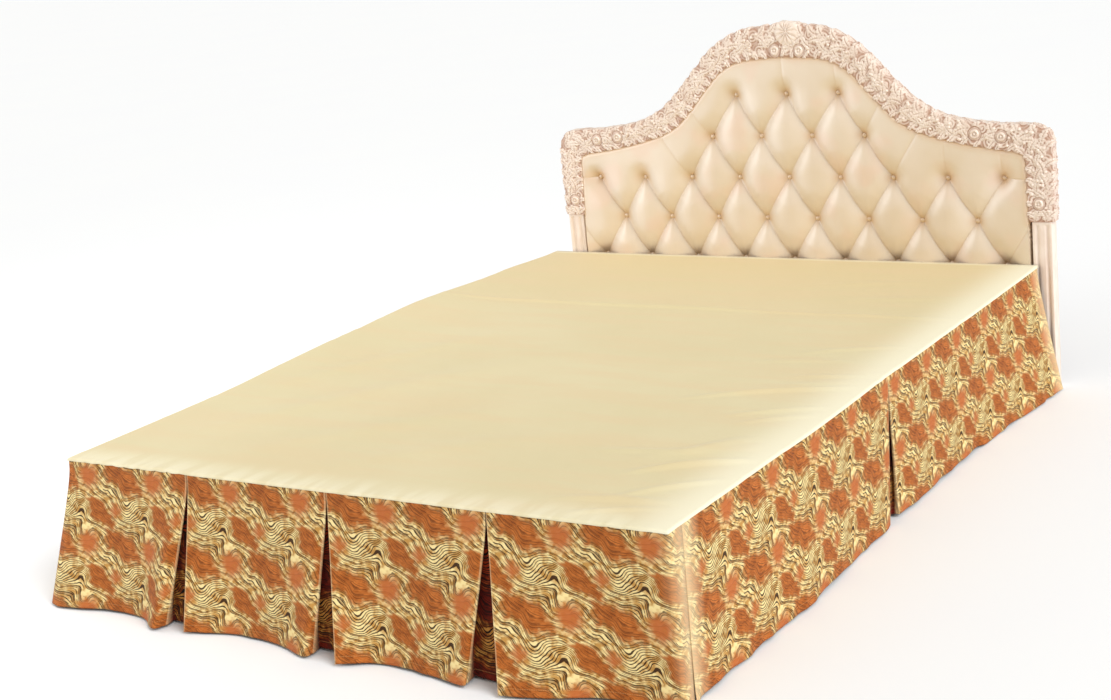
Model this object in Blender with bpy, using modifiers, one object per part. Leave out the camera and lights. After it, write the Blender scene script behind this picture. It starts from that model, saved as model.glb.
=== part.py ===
"""Bed skirt on a plain bed.

A plain deck cloth lies over the bed base. Three printed drops hang from its edge: one along the foot,
folded into four panels by inverted pleats and carried round both foot corners, and one down each side.
Metres, +Z up. The origin is on the floor under the middle of the bed; the foot is towards -Y.
"""
import math

import bmesh
import bpy
import numpy as np

# Driving dimensions ---------------------------------------------------------------------------------------
BED_WIDTH = 1.500
BED_LENGTH = 2.000
DECK_TOP = 0.335
CLOTH = 0.002
TOUCH_GAP = 0.0003

SIDE = BED_WIDTH / 2
FOOT = -BED_LENGTH / 2
DECK_MID = DECK_TOP - CLOTH / 2
EDGE_ROLL = 0.0045
EDGE_LIP = 0.0008
SEAM_LINE_GAP = 0.0008
DECK_HEAD = BED_LENGTH / 2 + 0.008

# The drops
DROP_TOP = DECK_MID - EDGE_ROLL - EDGE_LIP - SEAM_LINE_GAP
HEM_HEIGHT = 0.006
PLEAT_DEPTH = 0.0469
LAYER_PITCH = 0.0036
FOLD_CLEARANCE = 0.0015
FOLD_ROUNDING = 0.0017
CORNER_ROUNDING = 0.016
CORNER_REACH = 0.030
HEAD_CLEARANCE = 0.003
SEAM_FROM_CORNER = 0.050
SEAM_GAP = 0.0004
HANG_SOFTNESS = 0.10
DROP_ROWS = (0.0, 0.08, 0.22, 0.40, 0.60, 0.80, 1.0)
FOOT_PANEL_COLUMNS = 9
SIDE_PANEL_COLUMNS = 14
UNDERLAY_COLUMNS = 3
BEZIER_STEPS = 2

# The bed
BASE_INSET = 0.0125
BASE_HEIGHT = 0.130
BASE_TOP = DECK_TOP - CLOTH - TOUCH_GAP
BASE_EDGE = 0.007
LEG_RADIUS_TOP = 0.034
LEG_RADIUS_FOOT = 0.024
LEG_X = 0.62
LEG_Y = 0.88

# The headboard, centred a little to the right of the bed
BOARD_CENTRE = 0.047
RIM_FRONT = BED_LENGTH / 2 + 0.012
RIM_DEPTH = 0.040
BOARD_DEPTH = 0.016
BOARD_INSET = 0.014
BOARD_BOTTOM = 0.205
RIM_BOTTOM = 0.450
HALF_WIDTH = 0.745
POST_OUTER = 0.741
POST_INNER = 0.683
POST_INSET = 0.006
PAD_FRONT = RIM_FRONT + 0.008
PAD_CLEARANCE = 0.0010
PAD_CROWN = 0.010

# Half of the headboard's outline, from its middle to its side: distance from the middle, height above floor.
RIM_OUTER = ((0.000, 0.986), (0.130, 0.970), (0.215, 0.926), (0.272, 0.872), (0.330, 0.810), (0.400, 0.754),
             (0.480, 0.722), (0.600, 0.705), (0.690, 0.702), (0.732, 0.684), (HALF_WIDTH, 0.640),
             (HALF_WIDTH, RIM_BOTTOM))
RIM_INNER = ((0.000, 0.903), (0.120, 0.894), (0.185, 0.868), (0.235, 0.822), (0.290, 0.762), (0.345, 0.712),
             (0.420, 0.680), (0.530, 0.654), (0.620, 0.640), (0.660, 0.632), (0.679, 0.606),
             (POST_INNER, RIM_BOTTOM))

# Deck cloth: how far its edge stands out and up along each side, from the foot to the head.
# Columns: distance from the foot, out, up.
LEFT_EDGE = ((0.00, 0.000, 0.000), (0.42, 0.000, 0.000), (0.97, 0.013, 0.012), (1.31, 0.021, 0.017),
             (1.70, 0.007, 0.008), (2.01, 0.000, 0.000))
RIGHT_EDGE = ((0.00, 0.000, 0.000), (0.30, 0.002, 0.000), (0.62, 0.007, 0.000), (1.00, 0.002, 0.000),
              (1.50, 0.003, 0.000), (2.01, 0.000, 0.000))
EDGE_WAVE_START = 0.45

# A soft fold lies across the deck cloth: distance from the foot, middle and reach from left to right.
FOLD_AT = 1.437
FOLD_MIDDLE = 0.12
FOLD_REACH = 0.62
FOLD_HEIGHT = 0.005
FOLD_HALF_WIDTH = 0.016
FOLD_MARGIN = 0.06

# Foot drop, measured from the left foot corner: along the foot, and out from it.
# Each panel: the hem's points from its left fold to its right fold.
PLEAT_APEXES = (0.353, 0.727, 1.111)
FOOT_PANELS = (
    ((0.010, 0.054), (0.110, 0.034), (0.200, 0.042), (0.266, 0.080), (0.285, 0.058)),
    ((0.347, 0.072), (0.460, 0.041), (0.580, 0.050), (0.678, 0.081), (0.692, 0.062)),
    ((0.770, 0.090), (0.860, 0.051), (0.970, 0.060), (1.066, 0.082), (1.074, 0.070)),
    ((1.160, 0.092), (1.250, 0.066), (1.340, 0.036), (1.440, 0.026), (1.505, 0.030)),
)
# Each pleat: the hem's two back folds, left then right.
FOOT_PLEATS = (
    ((0.281, 0.030), (0.352, 0.034)),
    ((0.688, 0.034), (0.768, 0.038)),
    ((1.070, 0.036), (1.156, 0.040)),
)
# Round the left corner, from its seam to the first panel, and round the right one, to its seam.
LEFT_CORNER = ((-0.084, -0.051), (-0.097, 0.000), (-0.078, 0.050), (-0.040, 0.062))
RIGHT_CORNER = ((1.520, 0.026), (1.519, 0.002), (1.516, -0.014))

# Side drops, measured from the foot: along the side, and out from it.
RIGHT_APEX = 0.985
LEFT_APEX = 1.000
RIGHT_PANELS = (
    ((0.015, 0.016), (0.320, 0.021), (0.540, 0.028), (0.750, 0.016), (0.890, 0.014), (0.941, 0.007)),
    ((0.993, 0.007), (1.120, 0.011), (1.360, 0.012), (1.630, 0.022), (1.830, 0.043), (1.995, 0.058)),
)
RIGHT_PLEATS = (((0.939, -0.010), (0.992, -0.010)),)
LEFT_PANELS = (
    ((0.052, 0.084), (0.220, 0.062), (0.420, 0.034), (0.680, 0.020), (0.900, 0.026), (0.954, 0.022)),
    ((1.006, 0.020), (1.180, 0.014), (1.420, 0.026), (1.640, 0.016), (1.840, 0.030), (1.995, 0.044)),
)
LEFT_PLEATS = (((0.952, -0.002), (1.004, -0.002)),)

COLLECTION = "bed_skirt_on_bed"


# Scene and materials --------------------------------------------------------------------------------------
def clear_scene():
    for existing in list(bpy.data.objects):
        bpy.data.objects.remove(existing, do_unlink=True)


def new_collection(name):
    collection = bpy.data.collections.new(name)
    bpy.context.scene.collection.children.link(collection)
    return collection


def material(name, colour, roughness):
    made = bpy.data.materials.new(name)
    made.use_nodes = True
    shader = made.node_tree.nodes["Principled BSDF"]
    shader.inputs["Base Color"].default_value = (*colour, 1.0)
    shader.inputs["Roughness"].default_value = roughness
    shader.inputs["Metallic"].default_value = 0.0
    return made


def add_object(collection, name, mesh, finish):
    made = bpy.data.objects.new(name, mesh)
    mesh.materials.clear()
    mesh.materials.append(finish)
    collection.objects.link(made)
    return made


# Curves and sheets ----------------------------------------------------------------------------------------
def smooth_points(points, count):
    """Evenly spaced points on a smooth curve through the given ones."""
    known = np.array(points, dtype=float)
    padded = np.vstack([2 * known[0] - known[1], known, 2 * known[-1] - known[-2]])
    fine = []
    for k in range(len(known) - 1):
        before, start, end, after = padded[k:k + 4]
        for step in np.linspace(0.0, 1.0, 16, endpoint=False):
            bend = (2 * before - 5 * start + 4 * end - after) * step ** 2
            turn = (3 * start - before - 3 * end + after) * step ** 3
            fine.append(0.5 * (2 * start + (end - before) * step + bend + turn))
    fine = np.array(fine + [known[-1]])
    along = np.concatenate([[0.0], np.cumsum(np.linalg.norm(np.diff(fine, axis=0), axis=1))])
    wanted = np.linspace(0.0, along[-1], count)
    return np.column_stack([np.interp(wanted, along, fine[:, axis]) for axis in range(2)])


def round_corners(path, corners):
    """The path with each named corner replaced by a short curve; corners maps an index to a rounding."""
    rounded = []
    for index, point in enumerate(path):
        if index not in corners:
            rounded.append(point)
            continue
        before = path[index - 1] - point
        after = path[index + 1] - point
        reach = corners[index]
        start = point + before / np.linalg.norm(before) * min(reach, 0.45 * np.linalg.norm(before))
        end = point + after / np.linalg.norm(after) * min(reach, 0.45 * np.linalg.norm(after))
        for step in np.linspace(0.0, 1.0, BEZIER_STEPS + 1):
            rounded.append((1 - step) ** 2 * start + 2 * step * (1 - step) * point + step ** 2 * end)
    return np.array(rounded)


def strip_paths(panels, pleats, top_ends, columns, before=(), after=()):
    """The strip's path along its top and along its hem, as points (along, out) that match one to one.

    panels and pleats hold the hem; top_ends are the along values of the panels' tops. before and after
    are pairs (top point, hem point) that carry the strip round a corner.
    """
    top, hem, corners = [], [], {}

    def add(top_point, hem_point, rounding=0.0):
        if rounding:
            corners[len(top)] = rounding
        top.append(np.array(top_point, dtype=float))
        hem.append(np.array(hem_point, dtype=float))

    for top_point, hem_point, rounding in before:
        add(top_point, hem_point, rounding)
    last = len(panels) - 1
    for number, points in enumerate(panels):
        left, right = top_ends[number]
        if number > 0:
            left += FOLD_CLEARANCE
        if number < last:
            right -= FOLD_CLEARANCE
        hem_line = smooth_points(points, columns)
        top_line = np.linspace(left, right, columns)
        for column in range(columns):
            is_fold = (column == 0 and number > 0) or (column == columns - 1 and number < last)
            add((top_line[column], 0.0), hem_line[column], FOLD_ROUNDING if is_fold else 0.0)
        if number < last:
            add_pleat(add, right + FOLD_CLEARANCE, points[-1], pleats[number], panels[number + 1][0])
    for top_point, hem_point, rounding in after:
        add(top_point, hem_point, rounding)
    return round_corners(top, corners), round_corners(hem, corners)


def add_pleat(add, apex, left_edge, back_folds, right_edge):
    """The three hidden layers of one inverted pleat, between two panels' folded edges."""
    (back_left, back_right) = (np.array(fold) for fold in back_folds)
    left_edge, right_edge = np.array(left_edge), np.array(right_edge)
    inward = np.array((0.0, -LAYER_PITCH))
    near_left, near_right = apex - FOLD_CLEARANCE, apex + FOLD_CLEARANCE
    far_left, far_right = apex - PLEAT_DEPTH, apex + PLEAT_DEPTH
    add((near_left, -LAYER_PITCH), left_edge + inward, FOLD_ROUNDING)
    add((far_left, -LAYER_PITCH), back_left - inward, FOLD_ROUNDING)
    add((far_left, -2 * LAYER_PITCH), back_left, FOLD_ROUNDING)
    for share in np.linspace(0.0, 1.0, UNDERLAY_COLUMNS + 2)[1:-1]:
        add((far_left + (far_right - far_left) * share, -2 * LAYER_PITCH),
            back_left + (back_right - back_left) * share)
    add((far_right, -2 * LAYER_PITCH), back_right, FOLD_ROUNDING)
    add((far_right, -LAYER_PITCH), back_right - inward, FOLD_ROUNDING)
    add((near_right, -LAYER_PITCH), right_edge + inward, FOLD_ROUNDING)


def hang_share(level):
    """How far the cloth has swung out at this share of its height: upright at the seam, then straight."""
    soft = HANG_SOFTNESS
    return (math.hypot(level, soft) - soft) / (math.hypot(1.0, soft) - soft)


def hang_strip(top_path, hem_path, to_world):
    """Rows of points from the seam to the hem."""
    rows = []
    for level in DROP_ROWS:
        flat = top_path + (hem_path - top_path) * hang_share(level)
        height = DROP_TOP + (HEM_HEIGHT - DROP_TOP) * level
        rows.append([(*to_world(along, out), height) for along, out in flat])
    return rows


def sheet_object(collection, name, rows, finish):
    """A sheet of cloth: a grid moved onto the rows of points, then given its thickness."""
    row_count, column_count = len(rows), len(rows[0])
    shape = bmesh.new()
    bmesh.ops.create_grid(shape, x_segments=column_count - 1, y_segments=row_count - 1, size=1.0)
    for vertex in shape.verts:
        column = round((vertex.co.x + 1.0) / 2.0 * (column_count - 1))
        row = round((vertex.co.y + 1.0) / 2.0 * (row_count - 1))
        vertex.co = rows[row][column]
    mesh = bpy.data.meshes.new(name)
    shape.to_mesh(mesh)
    shape.free()
    mesh.shade_smooth()
    made = add_object(collection, name, mesh, finish)
    thicken = made.modifiers.new("cloth thickness", "SOLIDIFY")
    thicken.thickness = CLOTH
    thicken.offset = 0.0
    thicken.use_even_offset = True
    return made


# The bed skirt --------------------------------------------------------------------------------------------
def edge_wave(table, distance):
    stations, out, up = np.array(table).T
    ease = np.interp(distance, stations, np.arange(len(stations)))
    share = ease - np.floor(ease)
    low = np.minimum(np.floor(ease).astype(int), len(stations) - 1)
    high = np.minimum(low + 1, len(stations) - 1)
    blend = share * share * (3 - 2 * share)
    return out[low] + (out[high] - out[low]) * blend, up[low] + (up[high] - up[low]) * blend


def side_out(sign, distance):
    return edge_wave(RIGHT_EDGE if sign > 0 else LEFT_EDGE, distance)


def deck_point(x, y, over_x, over_y):
    """A point of the deck cloth; over_x and over_y are the lengths of cloth past the side and the foot edge."""
    sign = 1 if x > 0 else -1
    quarter = EDGE_ROLL * math.pi / 2
    roll_x, roll_y = (min(over, quarter) / EDGE_ROLL for over in (over_x, over_y))
    lip = max(over_x - quarter, over_y - quarter, 0.0)
    out, up = side_out(sign, y - FOOT)
    near_edge = max(0.0, (abs(x) - EDGE_WAVE_START) / (SIDE - EDGE_WAVE_START)) ** 2
    fade = max(0.0, 1.0 - (abs(x - FOLD_MIDDLE) / FOLD_REACH) ** 4)
    fold = FOLD_HEIGHT * fade * math.exp(-((y - FOOT - FOLD_AT) / FOLD_HALF_WIDTH) ** 2)
    rolled = EDGE_ROLL * (1.0 - math.cos(roll_x) * math.cos(roll_y)) + lip
    height = DECK_MID - rolled + up * near_edge + fold
    return (x + sign * (EDGE_ROLL * math.sin(roll_x) + out * near_edge),
            y - EDGE_ROLL * math.sin(roll_y), height)


def deck_cloth(collection, finish):
    quarter = EDGE_ROLL * math.pi / 2
    turn = [quarter / 3, quarter * 2 / 3, quarter, quarter + EDGE_LIP]
    flat_side, flat_foot = SIDE - EDGE_ROLL, FOOT + EDGE_ROLL
    inner_x = [(x, 0.0) for x in np.linspace(-flat_side, flat_side, 21)]
    columns = [(-flat_side, over) for over in reversed(turn)] + inner_x + [(flat_side, over) for over in turn]
    before_fold = np.linspace(flat_foot, FOOT + FOLD_AT - FOLD_MARGIN, 17)
    across_fold = FOOT + FOLD_AT + FOLD_HALF_WIDTH * np.array((-2.0, -1.0, -0.5, 0.0, 0.5, 1.0, 2.0))
    after_fold = np.linspace(FOOT + FOLD_AT + FOLD_MARGIN, DECK_HEAD, 6)
    stations = [(y, 0.0) for y in (*before_fold, *across_fold, *after_fold)]
    lines = [(flat_foot, over) for over in reversed(turn)] + stations
    rows = [[deck_point(x, y, over_x, over_y) for x, over_x in columns] for y, over_y in lines]
    return sheet_object(collection, "deck_cloth", rows, finish)


def foot_drop(collection, finish):
    edges = (CORNER_REACH, *PLEAT_APEXES, BED_WIDTH - CORNER_REACH)
    tops = tuple(zip(edges[:-1], edges[1:]))
    seam = SEAM_FROM_CORNER - SEAM_GAP
    left_tops = ((0.0, -seam), (0.0, -CORNER_REACH), (0.0, 0.0), (CORNER_REACH / 2, 0.0))
    left_rounding = (0.0, 0.0, CORNER_ROUNDING, 0.0)
    right_tops = ((BED_WIDTH, 0.0), (BED_WIDTH, -CORNER_REACH), (BED_WIDTH, -seam))
    right_rounding = (CORNER_ROUNDING, 0.0, 0.0)
    top, hem = strip_paths(FOOT_PANELS, FOOT_PLEATS, tops, FOOT_PANEL_COLUMNS,
                           before=tuple(zip(left_tops, LEFT_CORNER, left_rounding)),
                           after=tuple(zip(right_tops, RIGHT_CORNER, right_rounding)))
    rows = hang_strip(top, hem, lambda along, out: (along - SIDE, FOOT - out))
    return sheet_object(collection, "foot_drop", rows, finish)


def side_drop(collection, name, sign, apex, panels, pleats, finish):
    tops = ((SEAM_FROM_CORNER + SEAM_GAP, apex), (apex, BED_LENGTH - HEAD_CLEARANCE))
    top, hem = strip_paths(panels, pleats, tops, SIDE_PANEL_COLUMNS)
    rows = []
    for level in DROP_ROWS:
        share = hang_share(level)
        row = []
        for (top_along, top_out), (hem_along, hem_out) in zip(top, hem):
            along = top_along + (hem_along - top_along) * share
            edge_out, edge_up = side_out(sign, top_along)
            out = top_out + edge_out * (1 - share) + (hem_out - top_out) * share
            height = DROP_TOP + edge_up * (1 - level) + (HEM_HEIGHT - DROP_TOP) * level
            row.append((sign * (SIDE + out), FOOT + along, height))
        rows.append(row)
    return sheet_object(collection, name, rows, finish)


# The bed --------------------------------------------------------------------------------------------------
def bed_base(collection, finish):
    bpy.ops.mesh.primitive_cube_add(size=1.0, location=(0, 0, BASE_TOP - BASE_HEIGHT / 2))
    base = bpy.context.object
    base.name = "bed_base"
    for vertex in base.data.vertices:
        vertex.co.x *= BED_WIDTH - 2 * BASE_INSET
        vertex.co.y *= BED_LENGTH - 2 * BASE_INSET
        vertex.co.z *= BASE_HEIGHT
    move_to(collection, base, finish)
    ease = base.modifiers.new("eased edges", "BEVEL")
    ease.width = BASE_EDGE
    ease.segments = 2
    return base


def move_to(collection, made, finish):
    for holder in list(made.users_collection):
        holder.objects.unlink(made)
    collection.objects.link(made)
    made.data.materials.clear()
    made.data.materials.append(finish)


def leg(collection, name, x, y, finish):
    height = BASE_TOP - BASE_HEIGHT - TOUCH_GAP
    bpy.ops.mesh.primitive_cone_add(vertices=20, radius1=LEG_RADIUS_FOOT, radius2=LEG_RADIUS_TOP, depth=height,
                                    location=(x, y, height / 2))
    made = bpy.context.object
    made.name = name
    move_to(collection, made, finish)
    return made


def outline_object(collection, name, outline, front, depth, finish, edge=0.0):
    """A flat shape standing upright: a filled curve drawn in the XZ plane and given its depth along Y."""
    curve = bpy.data.curves.new(name, "CURVE")
    curve.dimensions = "2D"
    curve.fill_mode = "BOTH"
    curve.extrude = depth / 2 - edge
    curve.bevel_depth = edge
    curve.bevel_resolution = 1
    curve.offset = -edge
    spline = curve.splines.new("POLY")
    spline.points.add(len(outline) - 1)
    for point, (x, z) in zip(spline.points, outline):
        point.co = (x, z, 0.0, 1.0)
    spline.use_cyclic_u = True
    holder = bpy.data.objects.new(name + "_curve", curve)
    collection.objects.link(holder)
    bpy.context.view_layer.update()
    mesh = bpy.data.meshes.new_from_object(holder.evaluated_get(bpy.context.evaluated_depsgraph_get()))
    bpy.data.objects.remove(holder, do_unlink=True)
    shape = bmesh.new()
    shape.from_mesh(mesh)
    bmesh.ops.remove_doubles(shape, verts=shape.verts, dist=0.00005)
    bmesh.ops.recalc_face_normals(shape, faces=shape.faces)
    shape.to_mesh(mesh)
    shape.free()
    mesh.name = name
    made = add_object(collection, name, mesh, finish)
    made.location = (BOARD_CENTRE, front + depth / 2, 0.0)
    made.rotation_euler = (math.radians(90), 0.0, 0.0)
    return made


def camelback(half, count):
    """The whole outline from its left foot to its right foot, smoothed between the half's points."""
    right = smooth_points(half, count)
    left = right[:0:-1] * np.array((-1.0, 1.0))
    return np.vstack([left, right])


def headboard(collection, paint, leather, wood):
    outer = camelback(RIM_OUTER, 30)
    inner = camelback(RIM_INNER, 30)
    outline_object(collection, "headboard_rim", np.vstack([outer, inner[::-1]]), RIM_FRONT, RIM_DEPTH, paint)
    pad_edge = inner * np.array(((POST_INNER - PAD_CLEARANCE) / POST_INNER, 1.0))
    pad_edge[:, 1] -= PAD_CLEARANCE
    pad = np.vstack([(-POST_INNER + PAD_CLEARANCE, BOARD_BOTTOM), pad_edge,
                     (POST_INNER - PAD_CLEARANCE, BOARD_BOTTOM)])
    outline_object(collection, "headboard_pad", pad, PAD_FRONT, RIM_FRONT + RIM_DEPTH - PAD_FRONT, leather,
                   edge=PAD_CROWN)
    half = HALF_WIDTH - BOARD_INSET
    board_edge = outer * np.array((half / HALF_WIDTH, 1.0)) - np.array((0.0, BOARD_INSET))
    board = np.vstack([(-half, BOARD_BOTTOM), board_edge, (half, BOARD_BOTTOM)])
    board_front = RIM_FRONT + RIM_DEPTH + TOUCH_GAP
    outline_object(collection, "headboard_board", board, board_front, BOARD_DEPTH, wood)
    for name, sign in (("post_left", -1), ("post_right", 1)):
        top = RIM_BOTTOM - TOUCH_GAP
        near, far = sign * (POST_INNER + POST_INSET), sign * POST_OUTER
        outline = ((near, 0.0), (far, 0.0), (far, top), (near, top))
        outline_object(collection, name, outline, RIM_FRONT, RIM_DEPTH, paint)


def main():
    clear_scene()
    bed = new_collection(COLLECTION)
    plain = material("cream_cloth", (0.86, 0.76, 0.52), 0.80)
    print_cloth = material("printed_cloth", (0.68, 0.38, 0.20), 0.75)
    wood = material("bed_wood", (0.46, 0.31, 0.19), 0.60)
    paint = material("ivory_paint", (0.88, 0.78, 0.72), 0.45)
    leather = material("cream_leather", (0.92, 0.83, 0.68), 0.40)

    deck_cloth(bed, plain)
    foot_drop(bed, print_cloth)
    side_drop(bed, "right_drop", 1, RIGHT_APEX, RIGHT_PANELS, RIGHT_PLEATS, print_cloth)
    side_drop(bed, "left_drop", -1, LEFT_APEX, LEFT_PANELS, LEFT_PLEATS, print_cloth)
    bed_base(bed, wood)
    for name, x, y in (("leg_foot_left", -LEG_X, -LEG_Y), ("leg_foot_right", LEG_X, -LEG_Y),
                       ("leg_head_left", -LEG_X, LEG_Y), ("leg_head_right", LEG_X, LEG_Y),
                       ("leg_centre", 0.0, 0.0)):
        leg(bed, name, x, y, wood)
    headboard(bed, paint, leather, wood)


main()
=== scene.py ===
# %% [markdown]
# # A bed skirt on its bed
# A bed skirt is two cloths sewn together: a plain deck that lies over the bed base, and printed drops that
# hang from its edge to just above the floor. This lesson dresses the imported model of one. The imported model
# is the fixed frame: its solids say where every piece lies, and the new pieces are finer versions of the
# same shapes.

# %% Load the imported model
import math

import bpy
import numpy as np
from mathutils import Matrix, Vector


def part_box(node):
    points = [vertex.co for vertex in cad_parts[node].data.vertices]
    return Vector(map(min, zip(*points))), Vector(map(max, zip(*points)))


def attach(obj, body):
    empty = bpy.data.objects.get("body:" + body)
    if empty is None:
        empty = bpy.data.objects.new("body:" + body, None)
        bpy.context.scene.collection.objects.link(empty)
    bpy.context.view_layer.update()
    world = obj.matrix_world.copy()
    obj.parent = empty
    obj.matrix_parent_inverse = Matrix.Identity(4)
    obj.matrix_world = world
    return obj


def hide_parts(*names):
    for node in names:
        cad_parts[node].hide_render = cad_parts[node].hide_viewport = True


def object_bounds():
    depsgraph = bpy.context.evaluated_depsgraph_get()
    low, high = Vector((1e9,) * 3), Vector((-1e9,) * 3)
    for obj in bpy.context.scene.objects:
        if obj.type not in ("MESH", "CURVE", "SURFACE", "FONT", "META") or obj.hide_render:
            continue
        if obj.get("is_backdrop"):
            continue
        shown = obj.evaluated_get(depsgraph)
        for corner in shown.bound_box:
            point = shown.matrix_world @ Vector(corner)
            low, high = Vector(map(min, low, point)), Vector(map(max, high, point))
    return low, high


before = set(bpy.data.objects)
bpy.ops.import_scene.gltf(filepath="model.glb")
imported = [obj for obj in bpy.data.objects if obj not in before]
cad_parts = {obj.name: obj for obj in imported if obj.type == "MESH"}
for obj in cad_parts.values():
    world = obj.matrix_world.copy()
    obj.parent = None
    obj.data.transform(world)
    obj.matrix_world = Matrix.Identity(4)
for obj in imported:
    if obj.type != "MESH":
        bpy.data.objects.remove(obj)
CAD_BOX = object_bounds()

BODY = "root"
print("nodes:", ", ".join(sorted(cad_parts)))

# %% [markdown]
# ## Camera
# The camera comes first. It stands off the right foot corner at standing height, looks down a little, and is
# tipped, as the photograph was.

# %% Camera at the photograph's viewing angle
IMAGE_WIDTH = 1111
FOCAL_PIXELS = 1841.858
SENSOR_WIDTH = 36.0
CAMERA_PLACE = Vector((2.2993, -3.5966, 1.4739))
CAMERA_YAW, CAMERA_PITCH, CAMERA_ROLL = (math.radians(angle) for angle in (-33.873, 14.709, -6.018))


def camera_matrix():
    """The camera's place and turn, from how far it looks to the side, down, and tips."""
    ahead = Vector((math.sin(CAMERA_YAW) * math.cos(CAMERA_PITCH),
                    math.cos(CAMERA_YAW) * math.cos(CAMERA_PITCH), -math.sin(CAMERA_PITCH)))
    level = Vector((math.cos(CAMERA_YAW), -math.sin(CAMERA_YAW), 0.0))
    above = level.cross(ahead)
    side = level * math.cos(CAMERA_ROLL) + above * math.sin(CAMERA_ROLL)
    upward = above * math.cos(CAMERA_ROLL) - level * math.sin(CAMERA_ROLL)
    turned = Matrix((side, upward, -ahead)).transposed().to_4x4()
    turned.translation = CAMERA_PLACE
    return turned


camera = bpy.data.objects.new("camera", bpy.data.cameras.new("camera"))
bpy.context.scene.collection.objects.link(camera)
camera.data.sensor_width = SENSOR_WIDTH
camera.data.lens = SENSOR_WIDTH * FOCAL_PIXELS / IMAGE_WIDTH
camera.matrix_world = camera_matrix()
bpy.context.scene.camera = camera
print(f"lens {camera.data.lens:.1f} mm")

# %% [markdown]
# ## Studio
# A plain pale floor, an even pale surround, one wide soft sun from the right and one large panel in front
# of the headboard, whose reflection gives the leather its glints. Soft light keeps the cloth's own shading
# gentle.

# %% Studio
FLOOR_SIZE = 60.0
SURROUND = (1.0, 0.965, 0.91, 1.0)
SURROUND_STRENGTH = 0.64
SUN_TOWARDS, SUN_DISTANCE = Vector((0.77, -0.26, 0.59)), 6
SUN_STRENGTH, SUN_COLOUR = 2.2, (1.0, 1.0, 0.985)
SUN_SPREAD = math.radians(35)
PANEL_PLACE, PANEL_AIM = (-2.7, -1.1, 1.35), (0.0, 1.0, 0.60)
PANEL_WATTS, PANEL_SIZE = 31.0, (1.8, 2.6)


def add_light(name, kind, place, aim, strength, colour=(1.0, 1.0, 1.0)):
    light = bpy.data.lights.new(name, kind)
    light.energy = strength
    light.color = colour
    holder = bpy.data.objects.new(name, light)
    bpy.context.scene.collection.objects.link(holder)
    holder.location = place
    holder.rotation_euler = (Vector(aim) - Vector(place)).to_track_quat("-Z", "Y").to_euler()
    return light


def deselect():
    """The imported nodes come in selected, so everything is let go before an operator acts."""
    bpy.ops.object.select_all(action="DESELECT")


world = bpy.data.worlds.new("surround")
bpy.context.scene.world = world
world.use_nodes = True
background = world.node_tree.nodes["Background"].inputs
background["Color"].default_value = SURROUND
background["Strength"].default_value = SURROUND_STRENGTH
bpy.context.scene.view_settings.view_transform = "Standard"

sun = add_light("sun", "SUN", SUN_TOWARDS * SUN_DISTANCE, (0, 0, 0), SUN_STRENGTH, SUN_COLOUR)
sun.angle = SUN_SPREAD
panel = add_light("panel", "AREA", PANEL_PLACE, PANEL_AIM, PANEL_WATTS)
panel.shape = "RECTANGLE"
panel.size, panel.size_y = PANEL_SIZE

deselect()
bpy.ops.mesh.primitive_plane_add(size=FLOOR_SIZE, location=(0, 0, 0))
floor = bpy.context.object
floor.name = "floor"
floor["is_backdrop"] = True
print("studio: surround, sun, panel, floor")

# %% [markdown]
# ## Wiring helpers for materials
# A shader is a graph of small sums, and it is long when it is written out socket by socket. `wire` adds one
# node, feeds its inputs in order and hands back its output as a `Value`. A sum of Values, written with
# Python's own signs, adds the Math nodes that work it out. Effects that several finishes share are node
# groups.

# %% Material helpers
def colour(red, green, blue):
    """A colour as seen on screen, 0 to 255, in the linear values that a shader works in."""
    shares = (value / 255 for value in (red, green, blue))
    return (*(share / 12.92 if share <= 0.04045 else ((share + 0.055) / 1.055) ** 2.4
              for share in shares), 1.0)


class Value:
    """The output of a node. A sum with it adds a Math node to its tree and gives a Value again."""

    def __init__(self, socket):
        self.socket = socket

    def __add__(self, other):
        return calc("ADD", self, other)

    def __sub__(self, other):
        return calc("SUBTRACT", self, other)

    def __rsub__(self, other):
        return calc("SUBTRACT", other, self)

    def __mul__(self, other):
        return calc("MULTIPLY", self, other)

    def __truediv__(self, other):
        return calc("DIVIDE", self, other)


def feed(socket, value):
    """Links a Value to the socket or sets a plain number or colour; None leaves it as it is."""
    if isinstance(value, Value):
        socket.id_data.links.new(value.socket, socket)
    elif value is not None:
        socket.default_value = value


def wire(tree, kind, *values, output=0, **settings):
    node = tree.nodes.new(kind)
    for name, value in settings.items():
        setattr(node, name, value)
    for socket, value in zip(node.inputs, values):
        feed(socket, value)
    return Value(node.outputs[output])


def tree_of(*values):
    """The node tree of the first Value among these."""
    return next(value.socket.id_data for value in values if isinstance(value, Value))


def calc(operation, *values):
    return wire(tree_of(*values), "ShaderNodeMath", *values, operation=operation)


# Most of a noise lies between these values, so a soft step over them makes even patches of it.
PATCHES = (0.30, 0.70)


def between(value, low, high, start=0.0, end=1.0):
    """start below low, end above high, and a soft step in between."""
    return wire(tree_of(value), "ShaderNodeMapRange", value, low, high, start, end,
                interpolation_type="SMOOTHSTEP")


def mix(share, first, second, how="MIX"):
    """The two colours mixed. The node's sockets for plain numbers and vectors are passed over."""
    return wire(tree_of(share, first, second), "ShaderNodeMix", share, *[None] * 5, first, second,
                output=2, data_type="RGBA", blend_type=how)


def noise(place, scale, detail=2.0, stretch=(1.0, 1.0, 1.0)):
    stretched = wire(tree_of(place), "ShaderNodeVectorMath", place, stretch, operation="MULTIPLY")
    return wire(tree_of(place), "ShaderNodeTexNoise", stretched, None, scale, detail)


def split(place):
    """The first two parts of a place."""
    parts = wire(tree_of(place), "ShaderNodeSeparateXYZ", place).socket.node.outputs
    return Value(parts[0]), Value(parts[1])


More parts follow.
